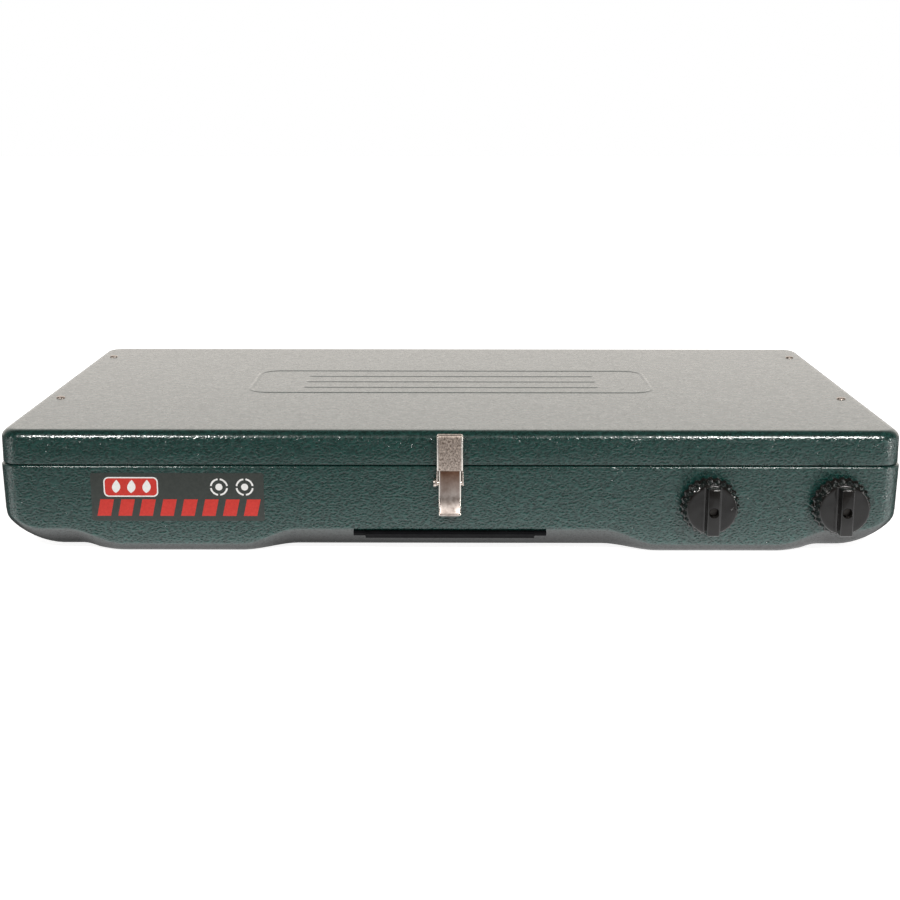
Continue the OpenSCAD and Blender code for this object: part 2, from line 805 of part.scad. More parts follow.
module label() {
    lean = atan(wall_draft / (seam_z - sill_z));
    color("#4b4f4d")
    translate([-170, y_front + wall_draft / 2 - 0.06, seam_z - 20])
        rotate([lean, 0, 0]) translate([0, -0.14, 0]) cube([label_w, 0.25, label_h], center = true);
}

// ---------- lid ----------

// The lid's outside form, or its inside when inset is the sheet's thickness
module lid_form(inset) {
    bend = lid_bend_r - inset;
    top = top_z - inset;
    foot = lid_z - (inset > 0 ? 5 : 0);
    hull() {
        plan_plate(lid_inset + inset, foot, top - bend - foot);
        for (a = [30, 60, 90])
            plan_plate(lid_inset + inset + bend * (1 - cos(a)), top - bend, bend * sin(a));
    }
}

// A ridge that follows a rounded rectangle
module ridge_frame(w, d, r) {
    translate([0, y_front + 172, top_z - eps])
        linear_extrude(ridge_h + eps)
            difference() {
                rounded_rect(w, d, r);
                rounded_rect(w - 2 * ridge_w, d - 2 * ridge_w, r - ridge_w);
            }
}

module lid() {
    color(paint)
    difference() {
        union() {
            difference() {
                lid_form(0);
                lid_form(sheet_t);
            }
            ridge_frame(frame_w, frame_d, 16);
            for (dy = [-22, 0, 22])
                translate([0, y_front + 172 + dy, top_z - eps])
                    linear_extrude(ridge_h + eps) rounded_rect(frame_w - 76, 6, 2.9);
        }
        for (side = [-1, 1]) {
            for (y = screen_rivet_y)
                cyl_z(side * screen_rivet_x, y, top_z - 5, top_z + 5, rivet_r + fixed_gap);
            cyl_y(side * 4.5, y_front - 3, y_front + 5, lid_z + 12, 1.2 + fixed_gap);
            for (dx = [-14, 14])
                cyl_y(side * hinge_x + dx, y_rear - 5, y_rear + 3, seam_z + 10, rivet_r + fixed_gap);
        }
    }
}

module lid_rivets() {
    color(nickel)
    for (side = [-1, 1], y = screen_rivet_y)
        rivet_down(side * screen_rivet_x, y, top_z, sheet_t + 1.05, rivet_r);
}

module windscreen_rods() {
    color(chrome)
    for (side = [-1, 1]) cyl_y(side * rod_x, screen_rivet_y[0] - 7, screen_rivet_y[1] + 7, rod_z, rod_r);
}

module windscreen_clips() {
    plate_top = top_z - sheet_t - 0.03;
    color(aluminised)
    for (side = [-1, 1], y = screen_rivet_y)
        difference() {
            union() {
                translate([side * (rod_x + 5.5), y, plate_top - 0.5]) cube([11, 10, 1], center = true);
                cyl_y(side * rod_x, y - 5, y + 5, rod_z, 3);
            }
            cyl_y(side * rod_x, y - 6, y + 6, rod_z, rod_r + fixed_gap);
            cyl_z(side * screen_rivet_x, y, top_z - 10, top_z, rivet_r + fixed_gap);
        }
}

module windscreen(side) {
    bead_x = [70, 200];
    color(paint)
    difference() {
        union() {
            translate([side * (screen_inner_x + rod_x - 1) / 2, (screen_front + screen_rear) / 2, rod_z])
                cube([rod_x - 1 - screen_inner_x, screen_rear - screen_front, screen_t], center = true);
            cyl_y(side * rod_x, screen_rivet_y[0] + 7, screen_rivet_y[1] - 7, rod_z, 2.6);
            for (x = bead_x)
                translate([side * x, (screen_front + screen_rear) / 2, rod_z])
                    cube([6, screen_rear - screen_front - 50, 1.8], center = true);
        }
        cyl_y(side * rod_x, y_front, y_rear, rod_z, rod_r + 0.1);
        for (y = screen_rivet_y)
            translate([side * (rod_x + 3), y, rod_z]) cube([18, 12.4, 10], center = true);
        // finger notch in the free edge
        cyl_z(side * (screen_inner_x - 4), (screen_front + screen_rear) / 2, 60, 90, 16);
    }
}

// ---------- hinges ----------

module knuckle(x0, x1, bore) {
    difference() {
        cyl_x(x0, x1, hinge_y, seam_z, knuckle_r);
        cyl_x(x0 - 1, x1 + 1, hinge_y, seam_z, bore);
    }
}

module hinge_case_leaves() {
    color(nickel)
    for (side = [-1, 1]) {
        x = side * hinge_x;
        difference() {
            union() {
                box([x - 20, x + 20], [y_rear + 0.02, y_rear + 1.2], [seam_z - 17, seam_z - 4]);
                for (end = [-1, 1]) {
                    box([x + end * 14 - 6, x + end * 14 + 6], [y_rear + 0.02, y_rear + 1.2],
                        [seam_z - 5, seam_z]);
                    cyl_x(x + end * 14 - 6, x + end * 14 + 6, hinge_y, seam_z, knuckle_r);
                }
            }
            cyl_x(x - 30, x + 30, hinge_y, seam_z, hinge_pin_r + fixed_gap);
            for (dx = [-14, 14]) cyl_y(x + dx, y_rear - 2, y_rear + 3, seam_z - 11, rivet_r + fixed_gap);
        }
    }
}

module hinge_lid_leaves() {
    face = y_rear - lid_inset;
    color(nickel)
    for (side = [-1, 1]) {
        x = side * hinge_x;
        difference() {
            union() {
                box([x - 20, x + 20], [face + 0.02, face + 1.2], [seam_z + 5, seam_z + 16]);
                box([x - 7.7, x + 7.7], [face + 0.02, face + 1.2], [seam_z + 2, seam_z + 6]);
                box([x - 7.7, x + 7.7], [face + 0.02, hinge_y], [seam_z + 1.8, seam_z + 2.9]);
                cyl_x(x - 7.7, x + 7.7, hinge_y, seam_z, knuckle_r);
            }
            cyl_x(x - 30, x + 30, hinge_y, seam_z, hinge_pin_r + running_gap);
            for (dx = [-14, 14]) cyl_y(x + dx, face - 2, face + 3, seam_z + 10, rivet_r + fixed_gap);
        }
    }
}

module hinge_pins() {
    color(nickel)
    for (side = [-1, 1]) cyl_x(side * hinge_x - 21, side * hinge_x + 21, hinge_y, seam_z, hinge_pin_r);
}

// Rivets through a rear wall: head outside, tail inside
module rear_rivets(face, leaf, z) {
    color(nickel)
    for (side = [-1, 1], dx = [-14, 14]) {
        x = side * hinge_x + dx;
        cyl_y(x, leaf, leaf + 1, z, 2.8);
        cyl_y(x, face - sheet_t - 0.6, leaf + 0.5, z, rivet_r);
        cyl_y(x, face - sheet_t - 1.3, face - sheet_t - 0.6, z, 2.6);
    }
}

module hinge_case_rivets() { rear_rivets(y_rear, y_rear + 1.2, seam_z - 11); }
module hinge_lid_rivets() { rear_rivets(y_rear - lid_inset, y_rear - lid_inset + 1.2, seam_z + 10); }

// ---------- nodes ----------

lower_case();
rubber_feet();
drip_tray();
tray_brackets();
tray_screws();
cooking_grate();
grate_clips();
burner_body(-1);  // burner_body_left
burner_body(1);  // burner_body_right
burner_cap(-1);  // burner_cap_left
burner_cap(1);  // burner_cap_right
burner_screws();
mixer_tube(knob_x[0], -1);  // mixer_tube_left
mixer_tube(knob_x[1], 1);  // mixer_tube_right
valve_body(knob_x[0]);  // valve_body_left
valve_body(knob_x[1]);  // valve_body_right
valve_nuts();
gas_jets();
gas_rail();
inlet_fitting();
regulator_body();
regulator_tube();
regulator_plug();
knob(knob_x[0]);  // knob_left
knob(knob_x[1]);  // knob_right
knob_screw(knob_x[0]);  // knob_screw_left
knob_screw(knob_x[1]);  // knob_screw_right
valve_stem(knob_x[0]);  // valve_stem_left
valve_stem(knob_x[1]);  // valve_stem_right
latch_base();
latch_base_rivets();
latch_lever_pin();
latch_lever();
latch_hook_pin();
latch_hook();
latch_catch();
latch_catch_rivets();
carry_handle();
handle_stop_pins();
handle_guides();
label();
lid();
windscreen(-1);  // windscreen_left
windscreen(1);  // windscreen_right
windscreen_rods();
windscreen_clips();
lid_rivets();
hinge_case_leaves();
hinge_lid_leaves();
hinge_pins();
hinge_case_rivets();
hinge_lid_rivets();
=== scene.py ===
"""Looks for a two-burner folding camp stove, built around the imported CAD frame.

Shapes are worked out in millimetres in the CAD's own frame (+Z up, -Y the front) and turned into
metres when a mesh is made.
"""

import math

import bmesh
import bpy
from mathutils import Matrix, Vector


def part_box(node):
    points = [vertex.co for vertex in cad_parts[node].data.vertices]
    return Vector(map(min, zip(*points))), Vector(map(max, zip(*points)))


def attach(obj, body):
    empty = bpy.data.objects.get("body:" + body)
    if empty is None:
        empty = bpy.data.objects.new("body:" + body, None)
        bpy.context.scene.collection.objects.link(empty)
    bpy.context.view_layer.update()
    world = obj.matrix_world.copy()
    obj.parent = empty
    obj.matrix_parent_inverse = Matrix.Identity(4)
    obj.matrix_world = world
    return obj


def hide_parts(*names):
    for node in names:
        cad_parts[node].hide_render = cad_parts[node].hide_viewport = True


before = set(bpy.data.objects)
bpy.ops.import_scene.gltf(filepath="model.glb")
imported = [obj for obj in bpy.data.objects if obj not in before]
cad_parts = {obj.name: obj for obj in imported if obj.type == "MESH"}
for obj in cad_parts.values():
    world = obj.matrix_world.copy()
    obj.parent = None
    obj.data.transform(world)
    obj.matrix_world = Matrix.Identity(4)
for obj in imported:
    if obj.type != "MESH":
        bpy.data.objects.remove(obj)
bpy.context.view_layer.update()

MM = 0.001


def cad(node):
    """A CAD node's lowest and highest corner, in millimetres."""
    lo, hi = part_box(node)
    return lo / MM, hi / MM


CASE_LO, CASE_HI = cad("lower_case")
LID_LO, LID_HI = cad("lid")
UPSTAND = 7.0  # flange of the case that stands up inside the lid
SHEET = 1.0
RIDGE = 0.7  # height of the ridges pressed into the lid
HALF_W = CASE_HI.x
FRONT, REAR = CASE_LO.y, CASE_HI.y
MID_Y = (FRONT + REAR) / 2
SEAM = CASE_HI.z - UPSTAND
TOP = LID_HI.z - RIDGE
CORNER = 14.0
LID_INSET = 1.0

# Pressed floor: heights of the sill and the underside, with and without a runner
DRAFT = 1.2
SILL, FLOOR, TURN = 16.4, 3.6, 12.8
RUNNER_SILL, RUNNER, RUNNER_TURN = 6.6, 1.0, 5.6
END_SILL, END_TURN = 24.5, 30.0  # the two ends slope in more gently
RUNNER_SPAN = (96.0, 131.0, 206.0, 241.0)  # where a runner starts, is full, is full, ends


# ---------- small geometry helpers ----------


def smooth(t):
    t = min(1.0, max(0.0, t))
    return t * t * (3 - 2 * t)


def mix(a, b, t):
    return a + (b - a) * t


def mesh_object(name, points, faces, body, material, replaced=(), sharp=35):
    """A piece from points in millimetres, riding on a body."""
    mesh = bpy.data.meshes.new(name)
    mesh.from_pydata([tuple(c * MM for c in p) for p in points], [], faces)
    bm = bmesh.new()
    bm.from_mesh(mesh)
    bmesh.ops.remove_doubles(bm, verts=bm.verts, dist=1e-7)
    bmesh.ops.recalc_face_normals(bm, faces=bm.faces)
    bm.to_mesh(mesh)
    bm.free()
    piece = bpy.data.objects.new(name, mesh)
    bpy.context.scene.collection.objects.link(piece)
    finish_piece(piece, body, material, replaced, sharp)
    return piece


def finish_piece(piece, body, material, replaced=(), sharp=35):
    piece.data.materials.clear()
    piece.data.materials.append(material)
    shade(piece, sharp)
    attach(piece, body)
    if replaced:
        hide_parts(*replaced)


def shade(piece, sharp=35):
    piece.data.shade_smooth()
    piece.data.set_sharp_from_angle(angle=math.radians(sharp))


def ring_faces(first, second, count, closed=True):
    """Quads between two rings of points that start at these indices."""
    last = count if closed else count - 1
    return [
        (first + i, first + (i + 1) % count, second + (i + 1) % count, second + i)
        for i in range(last)
    ]


def apply_modifiers(piece):
    depsgraph = bpy.context.evaluated_depsgraph_get()
    evaluated = piece.evaluated_get(depsgraph)
    mesh = bpy.data.meshes.new_from_object(evaluated)
    old = piece.data
    piece.modifiers.clear()
    piece.data = mesh
    bpy.data.meshes.remove(old)
    mesh.name = piece.name


def lathe(profile, sides=64, place=None, radius_at=None):
    """A solid of revolution about local +Z from (radius, height) points; ends on the axis are fans."""
    verts, faces, rings = [], [], []
    for r, h in profile:
        if r < 1e-6:
            rings.append([len(verts)])
            verts.append(Vector((0, 0, h)))
            continue
        ring = []
        for k in range(sides):
            a = 2 * math.pi * k / sides
            rr = radius_at(r, h, a) if radius_at else r
            ring.append(len(verts))
            verts.append(Vector((rr * math.cos(a), rr * math.sin(a), h)))
        rings.append(ring)
    for lower, upper in zip(rings, rings[1:]):
        for k in range(sides):
            nxt = (k + 1) % sides
            if len(lower) == 1 and len(upper) > 1:
                faces.append((lower[0], upper[nxt], upper[k]))
            elif len(upper) == 1 and len(lower) > 1:
                faces.append((lower[k], lower[nxt], upper[0]))
            elif len(lower) > 1:
                faces.append((lower[k], lower[nxt], upper[nxt], upper[k]))
    if place is not None:
        verts = [place @ v for v in verts]
    return verts, faces


def joined(parts):
    """Several (points, faces) as one."""
    verts, faces = [], []
    for p, f in parts:
        start = len(verts)
        verts += list(p)
        faces += [tuple(start + i for i in face) for face in f]
    return verts, faces


def facing_front(x, y, z):
    """Local +Z looks out of the stove's front."""
    return Matrix.Translation((x, y, z)) @ Matrix.Rotation(math.pi / 2, 4, "X")


# ---------- materials ----------


class Nodes:
    """A material with a Principled surface and helpers for its pattern nodes."""

    def __init__(self, name):
        self.mat = bpy.data.materials.new(name)
        self.mat.use_nodes = True
        self.tree = self.mat.node_tree
        self.surface = self.tree.nodes["Principled BSDF"]
        self.coords = self.add("ShaderNodeTexCoord").outputs["Object"]

    def add(self, kind, **settings):
        node = self.tree.nodes.new(kind)
        for key, value in settings.items():
            setattr(node, key, value)
        return node

    def link(self, source, target):
        self.tree.links.new(source, target)

    def noise(self, scale, detail=3.0, rough=0.55, coords=None):
        node = self.add("ShaderNodeTexNoise")
        self.link(coords or self.coords, node.inputs["Vector"])
        node.inputs["Scale"].default_value = scale
        node.inputs["Detail"].default_value = detail
        node.inputs["Roughness"].default_value = rough
        return node.outputs["Fac"]

    def cells(self, scale, smoothness=0.6, coords=None):
        node = self.add("ShaderNodeTexVoronoi", feature="SMOOTH_F1")
        self.link(coords or self.coords, node.inputs["Vector"])
        node.inputs["Scale"].default_value = scale
        node.inputs["Smoothness"].default_value = smoothness
        return node.outputs["Distance"]

    def stretched(self, scale):
        node = self.add("ShaderNodeMapping")
        node.inputs["Scale"].default_value = scale
        self.link(self.coords, node.inputs["Vector"])
        return node.outputs["Vector"]

    def math(self, operation, a, b=0.0):
        node = self.add("ShaderNodeMath", operation=operation)
        for socket, value in zip(node.inputs, (a, b)):
            if isinstance(value, (int, float)):
                socket.default_value = value
            else:
                self.link(value, socket)
        return node.outputs[0]

    def ramp(self, fac, stops):
        node = self.add("ShaderNodeValToRGB")
        self.link(fac, node.inputs["Fac"])
        elements = node.color_ramp.elements
        while len(elements) < len(stops):
            elements.new(0.5)
        for element, (position, color) in zip(elements, stops):
            element.position = position
            rgb = (color,) * 3 if isinstance(color, (int, float)) else color
            element.color = (*rgb, 1.0)
        return node.outputs["Color"]

    def blend(self, fac, a, b, how="MIX"):
        node = self.add("ShaderNodeMix", data_type="RGBA", blend_type=how)
        for name, value in (("Factor", fac), ("A", a), ("B", b)):
            if isinstance(value, bpy.types.NodeSocket):
                self.link(value, node.inputs[name])
            else:
                node.inputs[name].default_value = (*value, 1.0) if isinstance(value, tuple) else value
        return node.outputs["Result"]

    def bump(self, height, strength, distance, normal=None):
        node = self.add("ShaderNodeBump")
        node.inputs["Strength"].default_value = strength
        node.inputs["Distance"].default_value = distance
        self.link(height, node.inputs["Height"])
        if normal is not None:
            self.link(normal, node.inputs["Normal"])
        return node.outputs["Normal"]

    def set(self, **values):
        names = {
            "color": "Base Color",
            "rough": "Roughness",
            "metal": "Metallic",
            "normal": "Normal",
            "ior": "IOR",
            "coat": "Coat Weight",
            "coat_rough": "Coat Roughness",
            "coat_normal": "Coat Normal",
            "specular": "Specular IOR Level",
        }
        for key, value in values.items():
            socket = self.surface.inputs[names[key]]
            if isinstance(value, bpy.types.NodeSocket):
                self.link(value, socket)
            elif isinstance(value, tuple):
                socket.default_value = (*value, 1.0)
            else:
                socket.default_value = value
        return self.mat


def hammertone():
    """Green paint that dries into small wrinkled cells, with a gloss on top."""
    n = Nodes("hammertone_green")
    grain = n.stretched((0.62, 1.0, 1.0))
    warp = n.noise(330, 2, 0.5, coords=grain)
    shifted = n.add("ShaderNodeVectorMath", operation="ADD")
    spread = n.add("ShaderNodeVectorMath", operation="SCALE")
    spread.inputs["Scale"].default_value = 0.0026
    n.link(warp, spread.inputs[0])
    n.link(grain, shifted.inputs[0])
    n.link(spread.outputs[0], shifted.inputs[1])
    cells = n.cells(880, coords=shifted.outputs[0], smoothness=0.8)
    fine = n.noise(1600, 1, 0.5, coords=grain)
    height = n.math("ADD", cells, n.math("MULTIPLY", fine, 0.3))
    up = n.add("ShaderNodeSeparateXYZ")
    n.link(n.add("ShaderNodeNewGeometry").outputs["Normal"], up.inputs[0])
    level = n.math("MAXIMUM", up.outputs["Z"], n.math("MULTIPLY", up.outputs["Z"], -1.5))
    flat = n.ramp(level, [(0.12, 1.0), (0.38, 0.30), (0.80, 0.07)])
    waves = n.bump(n.noise(8, 1, 0.4), 0.2, 0.001)
    normal = n.bump(n.math("MULTIPLY", height, flat), 1.0, 0.00030, waves)
    depth = n.math("ADD", n.math("MULTIPLY", cells, 0.75), n.math("MULTIPLY", fine, 0.35))
    tone = n.ramp(depth, [(0.22, (0.0010, 0.011, 0.0095)), (0.45, (0.0034, 0.030, 0.026)),
                          (0.75, (0.0100, 0.058, 0.050))])
    gloss = n.ramp(depth, [(0.22, 0.35), (0.50, 0.9), (0.75, 1.0)])  # the valleys between cells are duller
    underside_shade = n.ramp(n.math("MULTIPLY", up.outputs["Z"], -1.0), [(0.30, 0.0), (0.60, 1.0)])
    color = n.blend(underside_shade, tone, (0.004, 0.006, 0.006))  # faces that look down are painted near black: painted shade on the underside
    rough = n.ramp(n.noise(220, 4, 0.6), [(0.3, 0.22), (0.7, 0.34)])
    return n.set(color=color, rough=rough, normal=normal, ior=1.55, coat=gloss, coat_rough=0.07,
                 coat_normal=normal)


def nickel(name, low, high, rough_low, rough_high, stretch=0.16, relief=0.00006, grain=160, painted_top_shade=None,
           painted_side_highlight=False):
    """Bright plating with fine scratches and a warm cast; the shade argument is (height where painted shade
    starts, height where it is full, tint), and the sides flag paints brighter side edges as a highlight.
    """
    n = Nodes(name)
    scratches = n.noise(900, 5, 0.7, coords=n.stretched((1.0, 1.0, stretch)))
    clouds = n.noise(grain, 4, 0.7)
    color = n.ramp(clouds, [(0.35, low), (0.65, high)])
    # painted shade: the plating is tinted towards dark brown from one height up to another, darkest at the
    # top of the part
    if painted_top_shade:
        shade_start, shade_full, tint = painted_top_shade
        split = n.add("ShaderNodeSeparateXYZ")
        n.link(n.coords, split.inputs[0])
        rise = n.math("DIVIDE", n.math("SUBTRACT", split.outputs["Z"], shade_start * MM), (shade_full - shade_start) * MM)
        color = n.blend(1.0, color, n.ramp(rise, [(0.0, 1.0), (1.0, tint)]), "MULTIPLY")
    rough = n.ramp(scratches, [(0.3, rough_low), (0.75, rough_high)])
    # painted highlight: faces turned to the sides get a bright colour, along with a lower roughness
    if painted_side_highlight:
        facing = n.add("ShaderNodeSeparateXYZ")
        n.link(n.add("ShaderNodeNewGeometry").outputs["Normal"], facing.inputs[0])
        side_highlight_mask = n.ramp(n.math("ABSOLUTE", facing.outputs["X"]), [(0.12, 0.0), (0.45, 1.0)])
        color = n.blend(side_highlight_mask, color, (0.92, 0.86, 0.80))
        rough = n.blend(side_highlight_mask, rough, (0.2, 0.2, 0.2))
    return n.set(color=color, rough=rough, metal=1.0, normal=n.bump(scratches, 0.25, relief))


def steel(name, low, high, rough_low, rough_high, grain=420.0):
    """Plain or aluminised sheet with rolling grain and a faint mottle."""
    n = Nodes(name)
    lines = n.noise(grain, 4, 0.65, coords=n.stretched((0.12, 1.0, 1.0)))
    mottle = n.noise(55, 4, 0.6)
    color = n.ramp(n.math("ADD", n.math("MULTIPLY", lines, 0.5), n.math("MULTIPLY", mottle, 0.5)),
                   [(0.35, low), (0.65, high)])
    rough = n.ramp(mottle, [(0.3, rough_low), (0.7, rough_high)])
    return n.set(color=color, rough=rough, metal=1.0, normal=n.bump(lines, 0.2, 0.00008))


def plastic(name, dark, light, rough_low, rough_high, specular=0.5, coat=0.0, wave=0.0):
    """Moulded phenolic or rubber: a fine pebble, slightly worn gloss and wave mm of moulding waviness."""
    n = Nodes(name)
    wear = n.noise(120, 4, 0.6)
    color = n.ramp(wear, [(0.3, dark), (0.75, light)])
    rough = n.ramp(n.noise(300, 3, 0.6), [(0.3, rough_low), (0.7, rough_high)])
    waves = n.bump(n.noise(90, 1, 0.4), 1.0, wave * MM)
    return n.set(color=color, rough=rough, specular=specular, coat=coat, coat_rough=0.05,
                 normal=n.bump(n.noise(1400, 2), 0.12, 0.00008, waves), coat_normal=waves)


def print_film(name, low, high, rough=0.42):
    """Printed label film with a faint speckle that follows the paint below it."""
    n = Nodes(name)
    speckle = n.noise(700, 3, 0.6)
    color = n.ramp(speckle, [(0.3, low), (0.7, high)])
    return n.set(color=color, rough=n.ramp(speckle, [(0.3, rough - 0.06), (0.7, rough + 0.06)]),
                 normal=n.bump(n.cells(520), 0.12, 0.00012))


GREEN = hammertone()
NICKEL = nickel("nickel_plate", (0.56, 0.47, 0.42), (0.80, 0.72, 0.66), 0.16, 0.36)
# the hook and the lever get painted highlights on their side edges
HOOK_NICKEL = nickel("nickel_pebbled", (0.15, 0.11, 0.09), (0.84, 0.73, 0.65), 0.40, 0.56, 0.6, 0.0002, 800,
                     painted_side_highlight=True)
# painted shade and dark reflection: the lever's top, just below the hook plate, is tinted dark brown
LEVER_NICKEL = nickel("nickel_brushed", (0.46, 0.38, 0.34), (0.72, 0.65, 0.61), 0.28, 0.40, 0.08,
                      painted_top_shade=(SEAM - 17, SEAM - 3, (0.52, 0.34, 0.25)), painted_side_highlight=True)
ALUMINISED = steel("aluminised_sheet", (0.50, 0.51, 0.51), (0.66, 0.67, 0.67), 0.26, 0.42)
BURNER = steel("burner_alloy", (0.40, 0.40, 0.39), (0.55, 0.55, 0.54), 0.38, 0.55, 700.0)
CHROME = steel("chromed_wire", (0.70, 0.70, 0.69), (0.82, 0.82, 0.81), 0.07, 0.14, 900.0)
BRASS = steel("turned_brass", (0.62, 0.43, 0.17), (0.78, 0.58, 0.28), 0.20, 0.34, 800.0)
BLACK = plastic("black_phenolic", (0.004, 0.0037, 0.0036), (0.009, 0.0082, 0.0078), 0.10, 0.22, 0.55,
                coat=0.2, wave=0.5)
RUBBER = plastic("black_rubber", (0.010, 0.010, 0.010), (0.020, 0.020, 0.020), 0.60, 0.75)
FILM = print_film("label_grey", (0.030, 0.036, 0.033), (0.040, 0.046, 0.042), 0.34)
RED = print_film("label_red", (0.48, 0.026, 0.018), (0.58, 0.036, 0.026), 0.36)
WHITE = print_film("label_white", (0.74, 0.74, 0.73), (0.84, 0.84, 0.83), 0.36)
HANDLE_BLACK = plastic("black_handle", (0.0015, 0.0015, 0.002), (0.004, 0.004, 0.005), 0.40, 0.55, 0.05)
BLACKENED = steel("blackened_steel", (0.045, 0.042, 0.040), (0.085, 0.08, 0.075), 0.28, 0.42, 900.0)


# ---------- pressed sheet shells ----------

STRAIGHT_STEPS = 150
CORNER_STEPS = 10


def plan_chain(inset, radius):
    """Front half of the plan outline, from the left wall round the front to the right wall."""
    r = max(radius - inset, 1.0)
    hx = HALF_W - inset - r
    front = FRONT + inset + r
    chain = []
    for k in range(CORNER_STEPS):
        a = math.pi + math.pi / 2 * k / CORNER_STEPS
        chain.append((-hx + r * math.cos(a), front + r * math.sin(a)))
    for k in range(STRAIGHT_STEPS + 1):
        chain.append((-hx + 2 * hx * k / STRAIGHT_STEPS, front - r))
    for k in range(1, CORNER_STEPS + 1):
        a = 1.5 * math.pi + math.pi / 2 * k / CORNER_STEPS
        chain.append((hx + r * math.cos(a), front + r * math.sin(a)))
    return chain


def plan_ring(inset, radius=CORNER):
    chain = plan_chain(inset, radius)
    return chain + [(x, 2 * MID_Y - y) for x, y in reversed(chain)]


def fill_faces(start, count):
    """Strips from front to rear across a ring."""
    half = count // 2
    return [
        (start + i, start + i + 1, start + count - 2 - i, start + count - 1 - i)
        for i in range(half - 1)
    ]


def sheet_shell(profile, outer_count):
    """A closed shell from rings (inset, height, radius, end inset): outer ones first, then inner ones.

    Insets and heights are numbers or functions of x. The outer rings end where the flat fill starts
    and the inner ones start there.
    """
    verts, faces = [], []
    count = 0
    for inset, height, radius, end in profile:
        if callable(inset):
            ring = shaped_ring(inset, radius, end)
        else:
            ring = [(x, y, x) for x, y in plan_ring(inset, radius)]
        count = len(ring)
        verts += [(x, y, height(base) if callable(height) else height) for x, y, base in ring]
    rings = len(profile)
    for i in range(rings):
        if i != outer_count - 1:
            faces += ring_faces(i * count, ((i + 1) % rings) * count, count)
    faces += fill_faces((outer_count - 1) * count, count)
    faces += fill_faces(outer_count * count, count)
    return verts, faces


def shaped_ring(inset_at, radius, end):
    """A plan ring (x, y, x before insetting) whose inset changes along the front and at the ends."""
    wide = inset_at(0.0)
    r = max(radius - wide, 1.0)
    corner_x = HALF_W - CORNER
    straight_end = HALF_W - end - r
    keep = 222.0  # points out to here stay, and those beyond are drawn in with the end wall
    chain = []
    for x, y in plan_chain(0.0, CORNER):
        side = math.copysign(1, x)
        if abs(x) <= corner_x:
            share = max(0.0, (abs(x) - keep) / (corner_x - keep))
            moved = mix(min(abs(x), keep), straight_end, share) if share else abs(x)
            chain.append((side * moved, FRONT + inset_at(x), x))
        else:
            dx = (abs(x) - corner_x) / CORNER
            dy = (y - FRONT - CORNER) / CORNER
            chain.append((side * (straight_end + r * dx), FRONT + wide + r + r * dy, x))
    return chain + [(x, 2 * MID_Y - y, base) for x, y, base in reversed(chain)]


def runner(x):
    """0 on the plain floor, 1 on the low part of a runner."""
    a, b, c, d = RUNNER_SPAN
    x = abs(x)
    return smooth((x - a) / (b - a)) * (1 - smooth((x - c) / (d - c)))


def end_share(x):
    """0 along the front, 1 at the two ends."""
    return smooth((abs(x) - (HALF_W - 24)) / 23)


def wall_inset(z):
    return DRAFT * min(1.0, (SEAM - z) / (SEAM - SILL))


def sill_height(up):
    return lambda x: mix(mix(SILL, RUNNER_SILL, runner(x)), END_SILL, end_share(x)) + up


def turn_curve(t, end):
    """How far in (0 to 1) and how high (1 to 0) the turn from wall to underside is at t."""
    b0, b1, b2, b3 = (1 - t) ** 3, 3 * t * (1 - t) ** 2, 3 * t * t * (1 - t), t**3
    along = b1 * mix(0.26, 0.0, end) + b2 * mix(0.55, 0.47, end) + b3
    up = b0 + b1 * mix(0.62, 0.68, end) + b2 * mix(0.10, 0.15, end)
    return along, up


def turn_rings(offset, steps=10):
    """Rings of the curve from the sill to the underside, offset inwards by the sheet."""
    rings = []
    for k in range(steps + 1):
        t = k / steps
        inwards = offset * (1 - 0.6 * t)
        upwards = offset * (0.41 + 0.59 * t)

        def inset(x, t=t, inwards=inwards):
            return DRAFT + mix(TURN, RUNNER_TURN, runner(x)) * turn_curve(t, 0)[0] + inwards

        def height(x, t=t, upwards=upwards):
            share, end = runner(x), end_share(x)
            top = mix(mix(SILL, RUNNER_SILL, share), END_SILL, end)
            low = mix(FLOOR, RUNNER, share)
            return mix(low, top, turn_curve(t, end)[1]) + upwards

        rings.append((inset, height, CORNER + 5 * t, DRAFT + END_TURN * turn_curve(t, 1)[0] + inwards))
    return rings


def arc(centre, radius, start, end, steps):
    """Points (inset, z) of an arc, angles in degrees, 0 towards the inside and 90 up."""
    points = []
    for k in range(steps + 1):
        a = math.radians(mix(start, end, k / steps))
        points.append((centre[0] + radius * math.cos(a), centre[1] + radius * math.sin(a)))
    return points


